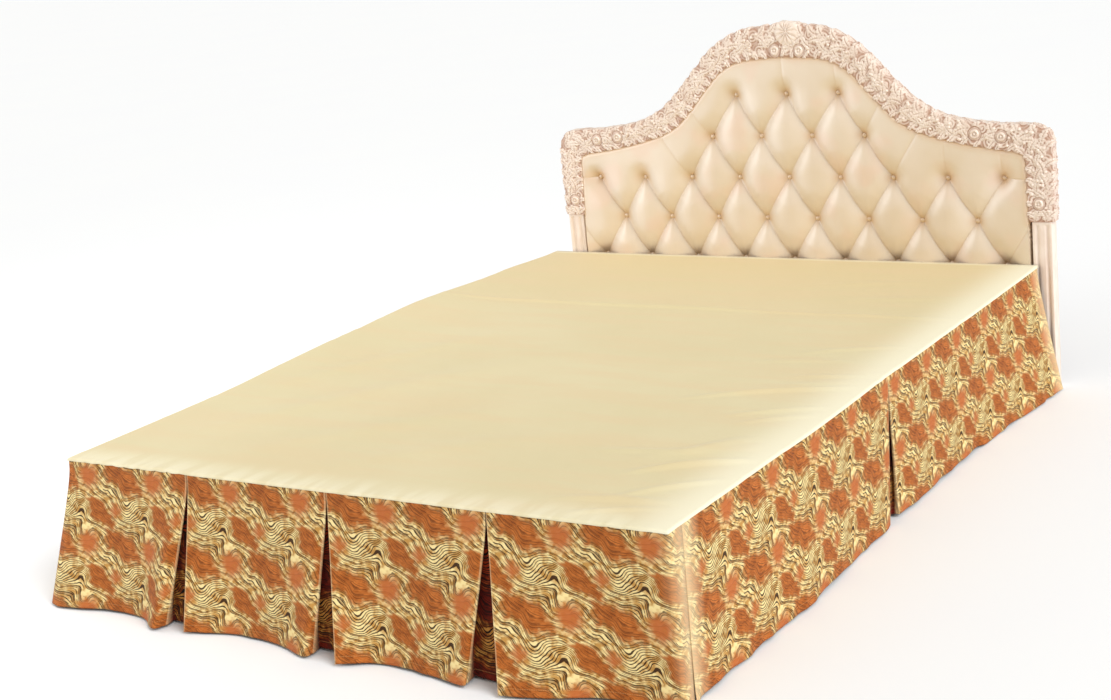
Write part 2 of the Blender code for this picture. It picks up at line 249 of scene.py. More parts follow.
def cloth_map(tree):
    """The piece's own UV map, which holds metres of flat cloth: along it, and down it."""
    return wire(tree, "ShaderNodeUVMap", uv_map="cloth")


def object_map(tree):
    return wire(tree, "ShaderNodeTexCoord", output="Object")


def carried(tree, label):
    """A number that the piece itself carries at each of its points."""
    return wire(tree, "ShaderNodeAttribute", output="Fac", attribute_name=label)


def new_group(name, inputs, outputs):
    """An empty node group; inputs and outputs map a label to a socket kind."""
    group = bpy.data.node_groups.new(name, "ShaderNodeTree")
    for sockets, direction in ((inputs, "INPUT"), (outputs, "OUTPUT")):
        for label, kind in sockets.items():
            group.interface.new_socket(label, in_out=direction, socket_type=kind)
    given, result = group.nodes.new("NodeGroupInput"), group.nodes.new("NodeGroupOutput")
    return group, [Value(given.outputs[label]) for label in inputs], result.inputs


def use_group(tree, group, *values):
    outputs = wire(tree, "ShaderNodeGroup", *values, node_tree=group).socket.node.outputs
    return {output.name: Value(output) for output in outputs}


def new_material(name, roughness, **constants):
    """A material with its shader; constants are values that are the same all over the surface."""
    made = bpy.data.materials.new(name)
    made.use_nodes = True
    shader = made.node_tree.nodes["Principled BSDF"].inputs
    shader["Roughness"].default_value = roughness
    for label, value in constants.items():
        shader[label.replace("_", " ")].default_value = value
    return made, made.node_tree, shader


def add_bump(shader, height, distance, strength):
    bump = tree_of(height).nodes.new("ShaderNodeBump")
    for label, value in (("Strength", strength), ("Distance", distance), ("Height", height)):
        feed(bump.inputs[label], value)
    feed(shader["Normal"], Value(bump.outputs["Normal"]))


VECTOR, VALUE, COLOUR = "NodeSocketVector", "NodeSocketFloat", "NodeSocketColor"
print("material helpers ready")

# %% [markdown]
# ## Weave
# Both cloths are plainly woven. The threads cross over and under by turns, so the height is that of a
# rounded warp thread in every other square and of a weft thread in the rest. Real yarn is uneven, so long
# thin noise along each thread set lightens and darkens it.

# %% Node group for a plain weave
CROSSING_SOFTNESS = 0.15
# How many times the yarn's unevenness turns in a metre, across a thread and along it.
YARN_ACROSS, YARN_ALONG = 900.0, 22.0


def plain_weave():
    group, (cloth, threads), result = new_group(
        "plain_weave", {"Cloth": VECTOR, "Threads per metre": VALUE}, {"Height": VALUE, "Tone": VALUE})
    scaled = wire(group, "ShaderNodeVectorMath", cloth, None, None, threads, operation="SCALE")
    warp, weft = (calc("SINE", part * math.pi) for part in split(scaled))
    over = between(warp * weft, -CROSSING_SOFTNESS, CROSSING_SOFTNESS)
    feed(result["Height"], calc("ABSOLUTE", warp) * over + calc("ABSOLUTE", weft) * (1.0 - over))
    down = noise(cloth, 1.0, stretch=(YARN_ACROSS, YARN_ALONG, 1.0))
    across = noise(cloth, 1.0, stretch=(YARN_ALONG, YARN_ACROSS, 1.0))
    feed(result["Tone"], (down + across) * 0.5)
    return group


WEAVE = plain_weave()
print("group:", WEAVE.name)

# %% [markdown]
# ## Marbled print
# The drops are printed with a marbled pattern in rust and brown on a cream and gold ground. It repeats
# every 188 mm along the cloth and every 150 mm down it. Everything is worked out inside one repeat, so it
# joins up at the edges: noise is read on a ring, and each motif stands at one place of the repeat. Fine
# lines are the level lines of a slanting flow, which eddies twist up. The motifs are of this script's own
# layout.

# %% Measures and colours of the print
REPEAT = (0.1875, 0.150)
LINES_IN_REPEAT, BOLD_LINES_IN_REPEAT, HATCHES_IN_REPEAT = 12, 4, 24
FINE_PHASE, BOLD_PHASE, SHADE_PHASE = 2.8, 1.3, 0.7
# Columns: centre in the repeat, how far it twists in radians, its reach in metres.
EDDIES = (((0.34, 0.66), 1.35, 0.042), ((0.62, 0.06), 1.00, 0.024))
# Columns: centre in the repeat, slant in degrees, half length, half width and soft edge in metres.
LEAVES = (((0.15, 0.22), 24.0, 0.080, 0.036, 0.022), ((0.82, 0.76), 40.0, 0.068, 0.031, 0.019))
CLEARING = ((0.37, 0.68), 8.0, 0.072, 0.040, 0.015)
# Columns: centre in the repeat, radius and soft edge in metres.
ROUNDS = (((0.62, 0.22), 0.026, 0.015), ((0.03, 0.70), 0.014, 0.012))
# Noises of the print. Columns: scale, detail, shift that makes it unlike the others.
SWAY, RIPPLE, MOTTLE = (0.8, 0.5, 0.0), (2.4, 1.0, 3.7), (2.2, 4.0, 1.9)
LINE_THINNESS, LINE_BUNDLES = (1.7, 2.0, 8.1), (1.5, 1.0, 5.3)
MIDDLE_RANGE, BUNDLE_RANGE, RUST_RANGE = (0.38, 0.62), (0.36, 0.46), (0.28, 0.66)
# Ranges of a wave, which runs from -1 to 1, that are drawn: bold lines, shadow beside them, and hatches.
BOLD_RANGE, SHADE_RANGE, HATCH_RANGE = (0.95, 0.985), (0.35, 1.0), (0.80, 0.98)
THINNEST, THICKEST, LINE_EDGE = 0.84, 0.40, 0.16
# Share of the sway and of the ripple in the flow, in a leaf's edge and in a round's edge.
FLOW_BENDS, LEAF_BENDS, ROUND_BEND = (0.42, 0.035), (0.040, 0.030), 0.02
FLOW_SLANT = (-1.0, 2.0)
CREAM, GOLD, TAN = colour(244, 222, 158), colour(192, 144, 74), colour(128, 80, 28)
RUST, DEEP_RUST, RED_RUST = colour(198, 114, 48), colour(158, 82, 24), colour(188, 100, 46)
BROWN_INK = colour(48, 20, 0)
FULL_TURN = 2 * math.pi
print("repeat of", REPEAT[0], "x", REPEAT[1], "m with", len(LEAVES), "leaves and", len(ROUNDS), "rounds")


# %% Motifs of the print
def motif_axes(along, down, centre, degrees=0.0):
    """Metres along and across a motif that stands at this place in every repeat."""
    x, y = ((calc("FRACT", value + (0.5 - middle)) - 0.5) * size
            for value, middle, size in zip((along, down), centre, REPEAT))
    slant = math.radians(degrees)
    return turn_by(x, y, math.cos(slant), -math.sin(slant))


def turn_by(x, y, cosine, sine):
    return x * cosine - y * sine, x * sine + y * cosine


def squared_distance(x, y):
    return x * x + y * y


def leaf_shape(x, y, length, width, soft):
    """1 inside a pointed leaf and 0 outside it."""
    share = x / length
    return between((1.0 - share * share) * width - calc("ABSOLUTE", y), 0.0, soft)


print("motif helpers ready")


# %% Node group for the marbled print
def marbled_print():
    group, (cloth,), result = new_group("marbled_print", {"Cloth": VECTOR}, {"Color": COLOUR})
    along, down = (part / size for part, size in zip(split(cloth), REPEAT))
    rings = [calc(which, value * FULL_TURN) for value in (along, down) for which in ("COSINE", "SINE")]
    ring = wire(group, "ShaderNodeCombineXYZ", *rings[:3])

    def repeat_noise(scale, detail, shift):
        """Noise that joins up from one repeat to the next, because it is read on two rings."""
        place = wire(group, "ShaderNodeVectorMath", ring, (shift, shift, shift), operation="ADD")
        return wire(group, "ShaderNodeTexNoise", place, rings[3], scale, detail, noise_dimensions="4D")

    twisted_along, twisted_down = along, down
    for centre, twist, reach in EDDIES:
        x, y = motif_axes(along, down, centre)
        angle = calc("EXPONENT", squared_distance(x, y) / (-reach * reach)) * twist
        turned_x, turned_y = turn_by(x, y, calc("COSINE", angle), calc("SINE", angle))
        twisted_along += (turned_x - x) / REPEAT[0]
        twisted_down += (turned_y - y) / REPEAT[1]
    sway, ripple, mottle = repeat_noise(*SWAY) - 0.5, repeat_noise(*RIPPLE) - 0.5, repeat_noise(*MOTTLE)
    flow = twisted_down * FLOW_SLANT[1] + twisted_along * FLOW_SLANT[0]
    flow += sway * FLOW_BENDS[0]
    flow += ripple * FLOW_BENDS[1]

    def waves(count, phase):
        return calc("SINE", flow * (FULL_TURN * count) + phase)

    leaves = rounds = 0.0
    for centre, slant, *sizes in LEAVES:
        x, y = motif_axes(along, down, centre, slant)
        bent = y + ripple * LEAF_BENDS[1] + sway * LEAF_BENDS[0]
        leaves = calc("MAXIMUM", leaves, leaf_shape(x, bent, *sizes))
    for centre, radius, soft in ROUNDS:
        distance = calc("SQRT", squared_distance(*motif_axes(along, down, centre))) + ripple * ROUND_BEND
        mask = between(distance, radius - soft, radius + soft, start=1.0, end=0.0)
        rounds = calc("MAXIMUM", rounds, mask)
    centre, slant, *sizes = CLEARING
    clearing = leaf_shape(*motif_axes(along, down, centre, slant), *sizes)

    thin = between(repeat_noise(*LINE_THINNESS), *MIDDLE_RANGE, THINNEST, THICKEST) - clearing * 0.25
    fine = between(waves(LINES_IN_REPEAT, FINE_PHASE) - thin, 0.0, LINE_EDGE)
    bundles = calc("MAXIMUM", between(repeat_noise(*LINE_BUNDLES), *BUNDLE_RANGE), clearing)
    bold = between(waves(BOLD_LINES_IN_REPEAT, BOLD_PHASE), *BOLD_RANGE) * (1.0 - clearing)
    lines = calc("MAXIMUM", fine * bundles, bold)

    shading = between(waves(BOLD_LINES_IN_REPEAT, SHADE_PHASE), *SHADE_RANGE) * (0.6 - clearing * 0.50)
    ground = mix(shading, mix(between(mottle, *MIDDLE_RANGE), GOLD, CREAM), TAN)
    hatches = calc("SINE", mottle * 3.0 + flow * (FULL_TURN * HATCHES_IN_REPEAT))
    rust = mix(between(mottle + hatches * 0.12, *RUST_RANGE), DEEP_RUST, RUST)
    dyed = mix(rounds * between(mottle, 0.2, 0.5, start=0.7, end=0.95), ground, RED_RUST)
    dyed = mix(leaves, dyed, rust)
    hidden = calc("MAXIMUM", leaves * 0.6, rounds)
    scratches = between(hatches, *HATCH_RANGE) * (leaves * 0.6)
    ink = calc("MAXIMUM", lines * (0.95 - hidden * 0.75), scratches)
    feed(result["Color"], mix(ink, dyed, BROWN_INK))
    return group


PRINT = marbled_print()
print("group:", PRINT.name, len(PRINT.nodes), "nodes")

# %% [markdown]
# ## Cloth finishes
# The deck is a plain cream cloth, a little lighter and yellower in patches, as undyed cotton is, and darker
# and yellower towards the head; a painted highlight lightens it near its right edge, in patches along the foot
# seam and at the head hem. The drops have the print over the same weave. A hem is turned up at the foot of
# each drop and stitched, and the stitches are drawn in the bump at that height. Inside a pleat little light
# arrives and what does is red from the cloth around it, so painted shade darkens and reddens the cloth there,
# by an attribute that the sheet carries. A painted highlight lightens the edges of the folds and the seams
# between strips.

# %% Cloth materials
DECK_THREADS, DROP_THREADS = 1900.0, 1700.0
DROP_LENGTH = 0.325
HEM_TURN = 0.014
# Where the strips' first corner lies on the print.
PRINT_START, PRINT_DOWN = -0.050, 0.006
STITCH_PITCH, STITCH_WIDTH = 0.0035, 0.0011
CREAM_TONES = (colour(217, 204, 161), colour(221, 209, 168))
HEAD_END_TONE, STREAKED = colour(219, 200, 151), colour(222, 201, 158)
# Painted highlights: on the deck over its edges, and on the drops' folds and seams; and the stitches' thread.
EDGE_HIGHLIGHT_TONE, PAINTED_HIGHLIGHT_TONE, STITCH_TONE = colour(244, 238, 210), colour(246, 224, 178), colour(206, 150, 92)
# Painted shade inside a pleat: a dark red, as light that bounced off the cloth.
PLEAT_SHADE_RED = colour(166, 66, 26)
# A painted highlight lightens the deck near its edges: from and to this place across it, and along it.
BRIGHT_SIDE, BRIGHT_FOOT, HEAD_HEM = (0.555, 0.748), (-0.995, -0.900), (0.984, 0.987)
# How many times each noise turns in a metre across the deck and along it.
STREAK_TURNS, PATCH_TURNS, WRINKLE_TURNS = (2.2, 13.0, 1.0), (24.0, 5.0, 1.0), (4.5, 20.0, 1.0)
WRINKLE_SHARE, STITCH_SHARE = 18.0, 2.2
# Depth of the weave's relief in metres, and its strength.
DECK_RELIEF, DROP_RELIEF = (0.00012, 0.5), (0.00014, 0.6)
DECK_TONE_SHARE, DROP_TONE_SHARE = 0.10, 0.12
# Shares of the drop's length over which the red light in a pleat fades, and what is left of it at the hem.
PLEAT_LIGHT, PLEAT_LIGHT_LEFT = (0.35, 0.80), 0.55


def cream_cloth():
    made, tree, shader = new_material("cream_cloth", roughness=0.72, Sheen_Weight=0.18,
                                      Sheen_Roughness=0.35)
    cloth = cloth_map(tree)
    weave = use_group(tree, WEAVE, cloth, DECK_THREADS)
    across, along = split(cloth)
    plain = mix(between(noise(cloth, 2.3, 3.0), *PATCHES), *CREAM_TONES)
    # Darker and yellower towards the head.
    plain = mix(between(along, 0.10, 1.00, end=0.8), plain, HEAD_END_TONE)
    plain = mix(between(noise(cloth, 1.0, 4.0, STREAK_TURNS), 0.40, 0.64, end=0.5), plain, STREAKED)
    # Painted highlight: near the right edge, in patches along the foot seam, and in a strip at the head hem.
    near_side = between(across, *BRIGHT_SIDE)
    patchy = between(noise(cloth, 1.0, 2.0, PATCH_TURNS), 0.38, 0.60, start=0.25, end=0.60)
    at_foot = between(along, *BRIGHT_FOOT, start=1.0, end=0.0) * patchy
    bright = calc("MAXIMUM", near_side * near_side, at_foot)
    bright = calc("MAXIMUM", bright, between(along, *HEAD_HEM, end=0.4))
    plain = mix(bright, plain, EDGE_HIGHLIGHT_TONE)
    feed(shader["Base Color"], mix(DECK_TONE_SHARE, plain, weave["Tone"], "OVERLAY"))
    wrinkles = noise(cloth, 1.0, 3.0, WRINKLE_TURNS)
    add_bump(shader, weave["Height"] + wrinkles * WRINKLE_SHARE, *DECK_RELIEF)
    return made


def stitch_row(along, down, below_seam):
    """1 on the stitches of one straight row, 0 beside them."""
    off_line = calc("ABSOLUTE", down - below_seam)
    on_line = between(off_line, STITCH_WIDTH * 0.4, STITCH_WIDTH, start=1.0, end=0.0)
    return on_line * between(calc("SINE", along * (FULL_TURN / STITCH_PITCH)), -0.6, -0.1)


def printed_cloth():
    made, tree, shader = new_material("printed_cloth", roughness=0.70, Sheen_Weight=0.04,
                                      Specular_IOR_Level=0.2)
    cloth = cloth_map(tree)
    weave = use_group(tree, WEAVE, cloth, DROP_THREADS)
    toned = mix(DROP_TONE_SHARE, use_group(tree, PRINT, cloth)["Color"], weave["Tone"], "OVERLAY")
    along, down = split(cloth)
    # Painted shade inside a pleat: the print multiplied by itself and by a dark red, as light that bounced off
    # the cloth, weaker towards the hem.
    fading = (share * DROP_LENGTH for share in PLEAT_LIGHT)
    dimness = between(down, *fading, start=1.0, end=PLEAT_LIGHT_LEFT)
    bounced = mix(dimness, mix(1.0, toned, toned, "MULTIPLY"), PLEAT_SHADE_RED, "MULTIPLY")
    toned = mix(carried(tree, "in_pleat"), toned, bounced)
    # Painted highlight on the edges of the folds and along the seams between strips.
    toned = mix(carried(tree, "pressed") * 0.28, toned, PAINTED_HIGHLIGHT_TONE)
    stitches = stitch_row(along, down, PRINT_DOWN + DROP_LENGTH - HEM_TURN)
    feed(shader["Base Color"], mix(stitches * 0.5, toned, STITCH_TONE))
    add_bump(shader, weave["Height"] + stitches * STITCH_SHARE, *DROP_RELIEF)
    return made


DECK_FINISH = cream_cloth()
DROP_FINISH = printed_cloth()
print("finishes:", DECK_FINISH.name, DROP_FINISH.name)

# %% [markdown]
# ## Making a sheet
# A sheet starts as Blender's grid, whose rows and columns are then moved onto the worked-out surface. Its
# UV map is set to metres of flat cloth, so the weave and the print follow every fold. Solidify gives the
# thickness.

# %% Sheet helper
CLOTH_THICKNESS = 0.0016


def add_grid(name, points):
    """Blender's grid with its vertices moved onto points, an array of rows and columns of (x, y, z)."""
    rows, columns = points.shape[:2]
    deselect()
    bpy.ops.mesh.primitive_grid_add(x_subdivisions=columns - 1, y_subdivisions=rows - 1, size=2.0)
    piece = bpy.context.object
    piece.name = piece.data.name = name
    flat = np.empty(len(piece.data.vertices) * 3)
    piece.data.vertices.foreach_get("co", flat)
    flat = flat.reshape(-1, 3)
    column = np.rint((flat[:, 0] + 1) / 2 * (columns - 1)).astype(int)
    row = np.rint((flat[:, 1] + 1) / 2 * (rows - 1)).astype(int)
    piece.data.vertices.foreach_set("co", points[row, column].ravel())
    piece.data.update()
    return piece, row, column


def set_cloth_map(piece, row, column, along, down):
    """The UV map named cloth: metres along and down the flat cloth, an array of each for the grid."""
    layer = piece.data.uv_layers.active
    layer.name = "cloth"
    corner = np.empty(len(piece.data.loops), dtype=int)
    piece.data.loops.foreach_get("vertex_index", corner)
    places = np.column_stack([along[row[corner], column[corner]], down[row[corner], column[corner]]])
    layer.data.foreach_set("uv", places.ravel())


def carry(piece, **marks):
    """Lets the piece carry numbers, one for each of its points, which a finish reads by their name."""
    for label, values in marks.items():
        mark = piece.data.attributes.new(label, "FLOAT", "POINT")
        mark.data.foreach_set("value", values.astype(np.float32))


def stand_for(piece, slot, *nodes):
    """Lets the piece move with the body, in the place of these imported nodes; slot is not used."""
    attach(piece, BODY)
    if nodes:
        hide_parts(*nodes)


def apply_all(piece):
    deselect()
    piece.select_set(True)
    bpy.context.view_layer.objects.active = piece
    for modifier in list(piece.modifiers):
        bpy.ops.object.modifier_apply(modifier=modifier.name)


def finish_sheet(piece, finish):
    thicken = piece.modifiers.new("cloth thickness", "SOLIDIFY")
    thicken.thickness = CLOTH_THICKNESS
    thicken.offset = 0.0
    thicken.use_even_offset = True
    apply_all(piece)
    piece.data.shade_smooth()
    piece.data.materials.append(finish)


def eased(share):
    return share * share * (3 - 2 * share)


def wander(places, spacing, seed):
    """A smooth random wave between -1 and 1 that turns about once every spacing."""
    low = math.floor(places.min() / spacing) - 2
    count = math.ceil(places.max() / spacing) - low + 4
    knots = np.random.default_rng(seed).uniform(-1.0, 1.0, count)
    position = places / spacing - low
    index = np.floor(position).astype(int)
    ease = eased(position - index)
    return knots[index] * (1 - ease) + knots[index + 1] * ease


print("sheet helpers ready")

# %% [markdown]
# ## Deck cloth
# The deck lies flat on the base and rolls over its edges into the seam of the drops. It isn't ironed flat:
# a soft fold crosses it near the head, shallow creases are dragged in from the right edge by the weight of
# the drop, and the seam at the foot puckers it a little. The creases are rows in a table of ridges and
# troughs.

# %% Deck cloth's sizes, as the frame has them
BED_WIDTH, BED_LENGTH = 1.500, 2.000
SIDE, FOOT = BED_WIDTH / 2, -BED_LENGTH / 2
DECK_MID = 0.334
EDGE_ROLL, EDGE_LIP, SEAM_LINE_GAP = 0.0045, 0.0008, 0.0008
DECK_HEAD = 1.008
# Columns: distance from the foot, out, up.
LEFT_EDGE = ((0.00, 0.000, 0.000), (0.42, 0.000, 0.000), (0.97, 0.013, 0.012), (1.31, 0.021, 0.017),
             (1.70, 0.007, 0.008), (2.01, 0.000, 0.000))
RIGHT_EDGE = ((0.00, 0.000, 0.000), (0.30, 0.002, 0.000), (0.62, 0.007, 0.000), (1.00, 0.002, 0.000),
              (1.50, 0.003, 0.000), (2.01, 0.000, 0.000))
EDGE_WAVE_START = 0.45
FOLD_AT, FOLD_MIDDLE, FOLD_REACH = 1.437, 0.00, 0.78
FOLD_HEIGHT, FOLD_HALF_WIDTH = 0.0060, 0.011
# Columns: start x and y, end x and y, bow to the head side, height, half width.
CREASES = (
    (0.36, -0.300, 0.765, -0.118, 0.020, 0.0080, 0.013), (0.46, -0.215, 0.745, -0.075, 0.014, 0.0030, 0.020),
    (0.52, -0.385, 0.740, -0.262, 0.008, 0.0055, 0.011), (0.57, -0.425, 0.735, -0.318, 0.006, 0.0040, 0.010),
    (0.50, -0.765, 0.765, -0.606, 0.022, 0.0085, 0.014), (0.46, -0.690, 0.735, -0.530, 0.018, 0.0030, 0.022),
    (0.55, -0.895, 0.750, -0.715, 0.012, 0.0060, 0.012), (0.43, -0.912, 0.710, -0.868, 0.006, 0.0060, 0.013),
    (0.36, -0.645, 0.640, -0.600, 0.004, 0.0040, 0.014), (0.56, -0.640, 0.680, -0.480, 0.010, 0.0050, 0.020),
    (0.50, -0.985, 0.700, -0.900, 0.006, 0.0045, 0.009), (0.40, 0.010, 0.650, 0.062, 0.006, 0.0036, 0.012),
    (0.47, 0.088, 0.725, 0.204, 0.008, 0.0042, 0.013), (0.52, -0.085, 0.725, -0.045, 0.004, 0.0040, 0.011),
    (0.34, 0.560, 0.700, 0.640, 0.010, 0.0030, 0.016), (0.20, 0.700, 0.640, 0.800, 0.012, 0.0026, 0.018),
    (-0.68, -0.92, -0.05, 0.02, 0.020, 0.0045, 0.050), (-0.45, -0.93, 0.15, -0.34, 0.020, 0.0040, 0.050),
    (-0.20, -0.95, 0.35, -0.50, 0.015, 0.0030, 0.045), (-0.70, -0.55, -0.30, 0.22, 0.020, 0.0035, 0.040),
)
CREASE_FADE = 1.2
FOOT_PUCKERS, FOOT_PUCKER_PITCH, FOOT_PUCKER_REACH = (-0.70, -0.36), 0.042, 0.050


def edge_wave(table, distance):
    """How far the deck's edge stands out and up at this distance from the foot, eased between the rows."""
    stations, out, up = np.array(table).T
    position = np.interp(distance, stations, np.arange(len(stations)))
    low = np.minimum(np.floor(position).astype(int), len(stations) - 1)
    high = np.minimum(low + 1, len(stations) - 1)
    ease = eased(position - low)
    return out[low] + (out[high] - out[low]) * ease, up[low] + (up[high] - up[low]) * ease


def side_wave(x, y):
    left, right = edge_wave(LEFT_EDGE, y - FOOT), edge_wave(RIGHT_EDGE, y - FOOT)
    return [np.where(x > 0, right[which], left[which]) for which in (0, 1)]


def crease_height(x, y):
    """All ridges and troughs of the table, added up; each fades out at its two ends."""
    height = np.zeros_like(x)
    for start_x, start_y, end_x, end_y, bow, rise, half_width in CREASES:
        run = np.array((end_x - start_x, end_y - start_y))
        length = np.hypot(*run)
        share = ((x - start_x) * run[0] + (y - start_y) * run[1]) / length ** 2
        across = ((y - start_y) * run[0] - (x - start_x) * run[1]) / length
        inside = np.clip(share, 0.0, 1.0)
        fade = np.sin(inside * math.pi) ** CREASE_FADE
        height += rise * fade * np.exp(-((across - 4 * bow * inside * (1 - inside)) / half_width) ** 2)
    return height


print("deck of", BED_WIDTH, "x", BED_LENGTH, "m with", len(CREASES), "creases")

# %% Deck cloth's surface
# Stretches of the deck, from left to right and from foot to head, closer set where the creases are.
# Columns: end of the stretch, number of grid lines in it.
COLUMN_STRETCHES = ((-0.34, 48), (0.34, 36), (SIDE - EDGE_ROLL, 84))
ROW_STRETCHES = ((-0.90, 16), (0.26, 160), (0.40, 10), (0.48, 18), (DECK_HEAD, 34))
ROLL_STEPS = 5
PUCKER, PUCKER_REACH = 0.0011, 0.035
GATHER, SETTLING, SOFT_RISE, FOLD_WANDER = 0.0024, 0.0006, 0.0014, 0.004
# How much of the fold's height and of the gathers' reach varies; how the gathers slant, stray and dip.
FOLD_SPREAD, GATHER_SPREAD, GATHER_SLANT, GATHER_STRAY, GATHER_DIP = 0.15, 0.25, 0.5, 0.010, -0.3
# The small random waves of the cloth. Columns: spacing, seed.
FOLD_LINE_WAVE, FOLD_HEIGHT_WAVE = (0.12, 5), (0.15, 6)
FOOT_SEAM_WAVE, SIDE_SEAM_WAVE, SOFT_WAVES = (0.021, 7), (0.026, 8), ((0.17, 9), (0.21, 10))
GATHER_LINE_WAVE, GATHER_REACH_WAVE = (0.06, 12), (0.05, 13)
# Creases stop this far from the edge.
CREASE_END = 0.05


def foot_gathers(x, y):
    """Short slanted gathers on the left of the foot seam, where the drop was eased onto the deck."""
    start, end = FOOT_PUCKERS
    share = np.clip((x - start) / (end - start), 0.0, 1.0)
    slanted = x - GATHER_SLANT * (y - FOOT) + GATHER_STRAY * wander(x, *GATHER_LINE_WAVE)
    wave = np.maximum(np.sin(slanted * FULL_TURN / FOOT_PUCKER_PITCH), GATHER_DIP)
    reach = FOOT_PUCKER_REACH * (1.0 - GATHER_SPREAD + GATHER_SPREAD * wander(x, *GATHER_REACH_WAVE))
    return GATHER * wave * np.sin(share * math.pi) ** 0.5 * np.exp(-(y - FOOT) / reach)


def grid_lines(start, stretches):
    places = [np.array([start])]
    for end, count in stretches:
        places.append(np.linspace(places[-1][-1], end, count + 1)[1:])
    return np.concatenate(places)


def deck_surface():
    quarter = EDGE_ROLL * math.pi / 2
    over = np.append(np.linspace(0.0, quarter, ROLL_STEPS + 1)[1:], quarter + EDGE_LIP)
    flat_x = grid_lines(EDGE_ROLL - SIDE, COLUMN_STRETCHES)
    flat_y = grid_lines(FOOT + EDGE_ROLL, ROW_STRETCHES)
    x_line = np.concatenate([np.full(len(over), flat_x[0]), flat_x, np.full(len(over), flat_x[-1])])
    over_x = np.concatenate([over[::-1], np.zeros(len(flat_x)), over])
    y_line = np.concatenate([np.full(len(over), flat_y[0]), flat_y])
    over_y = np.concatenate([over[::-1], np.zeros(len(flat_y))])
    x, y = np.meshgrid(x_line, y_line)
    over_x, over_y = np.meshgrid(over_x, over_y)
    sign = np.where(x > 0, 1.0, -1.0)
    roll_x, roll_y = np.minimum(over_x, quarter) / EDGE_ROLL, np.minimum(over_y, quarter) / EDGE_ROLL
    rolled = EDGE_ROLL * (1.0 - np.cos(roll_x) * np.cos(roll_y))
    rolled += np.maximum(np.maximum(over_x, over_y) - quarter, 0.0)
    out, up = side_wave(x, y)
    near_edge = np.clip((np.abs(x) - EDGE_WAVE_START) / (SIDE - EDGE_WAVE_START), 0.0, None) ** 2
    fade = np.clip(1.0 - (np.abs(x - FOLD_MIDDLE) / FOLD_REACH) ** 4, 0.0, None)
    line = FOOT + FOLD_AT + FOLD_WANDER * wander(x, *FOLD_LINE_WAVE)
    fold = FOLD_HEIGHT * (1.0 - FOLD_SPREAD + FOLD_SPREAD * wander(x, *FOLD_HEIGHT_WAVE)) * fade
    fold *= np.exp(-((y - line) / FOLD_HALF_WIDTH) ** 2)
    foot_pucker = PUCKER * wander(x, *FOOT_SEAM_WAVE) * np.exp(-(y - FOOT) / PUCKER_REACH)
    side_pucker = PUCKER * wander(y, *SIDE_SEAM_WAVE) * np.exp(-(SIDE - np.abs(x)) / PUCKER_REACH)
    soft = SOFT_RISE * wander(x + 0.3 * y, *SOFT_WAVES[0]) * wander(y - 0.2 * x, *SOFT_WAVES[1])
    at_edge = np.clip((SIDE - np.abs(x)) / CREASE_END, 0.0, 1.0)
    relief = fold + crease_height(x, y) * at_edge + foot_gathers(x, y) + foot_pucker + side_pucker + soft
    height = DECK_MID - rolled + up * near_edge + SETTLING * np.logaddexp(0.0, relief / SETTLING)
    place_x = x + sign * (EDGE_ROLL * np.sin(roll_x) + out * near_edge)
    place_y = y - EDGE_ROLL * np.sin(roll_y)
    return np.stack([place_x, place_y, height], axis=-1), x + sign * over_x, y - over_y


deck_points, deck_along, deck_down = deck_surface()
deck, row, column = add_grid("deck_cloth_sheet", deck_points)
set_cloth_map(deck, row, column, deck_along, deck_down)
finish_sheet(deck, DECK_FINISH)
stand_for(deck, "cream_cloth", "deck_cloth")

# %% [markdown]
# ## Printed drops
# Each drop is one long strip, folded at its pleats. Seen from above it is a path that runs along a panel,
# turns back behind it, comes forward again and goes on: an inverted box pleat. Two such paths, one at the
# seam and one at the hem, match point for point, and the cloth hangs between them. The hem's path is the
# uneven one.

# %% Paths of the strips
DROP_TOP = DECK_MID - EDGE_ROLL - EDGE_LIP - SEAM_LINE_GAP
HEM_HEIGHT = 0.006
PLEAT_DEPTH, LAYER_PITCH = 0.0469, 0.0036
FOLD_CLEARANCE, FOLD_ROUNDING = 0.0015, 0.0017
CORNER_ROUNDING, CORNER_REACH = 0.016, 0.030
SEAM_FROM_CORNER, SEAM_GAP = 0.050, 0.0001
HANG_SOFTNESS = 0.10
CURVE_STEPS, CURVE_FINENESS, LONGEST_ROUNDING = 6, 32, 0.45
UNDERLAY_COLUMNS = 11
# A panel comes wholly to the front within one part in this many of its width.
FRONT_PARTS = 12


def smooth_points(points, count):
    """Evenly spaced points on a smooth curve through the given ones."""
    known = np.array(points, dtype=float)
    padded = np.vstack([2 * known[0] - known[1], known, 2 * known[-1] - known[-2]])
    fine = []
    for index in range(len(known) - 1):
        before, start, end, after = padded[index:index + 4]
        for step in np.linspace(0.0, 1.0, CURVE_FINENESS, endpoint=False):
            bend = (2 * before - 5 * start + 4 * end - after) * step ** 2
            turn = (3 * start - before - 3 * end + after) * step ** 3
            fine.append(0.5 * (2 * start + (end - before) * step + bend + turn))
    fine = np.array(fine + [known[-1]])
    along = np.concatenate([[0.0], np.cumsum(np.linalg.norm(np.diff(fine, axis=0), axis=1))])
    wanted = np.linspace(0.0, along[-1], count)
    return np.column_stack([np.interp(wanted, along, fine[:, axis]) for axis in range(2)])


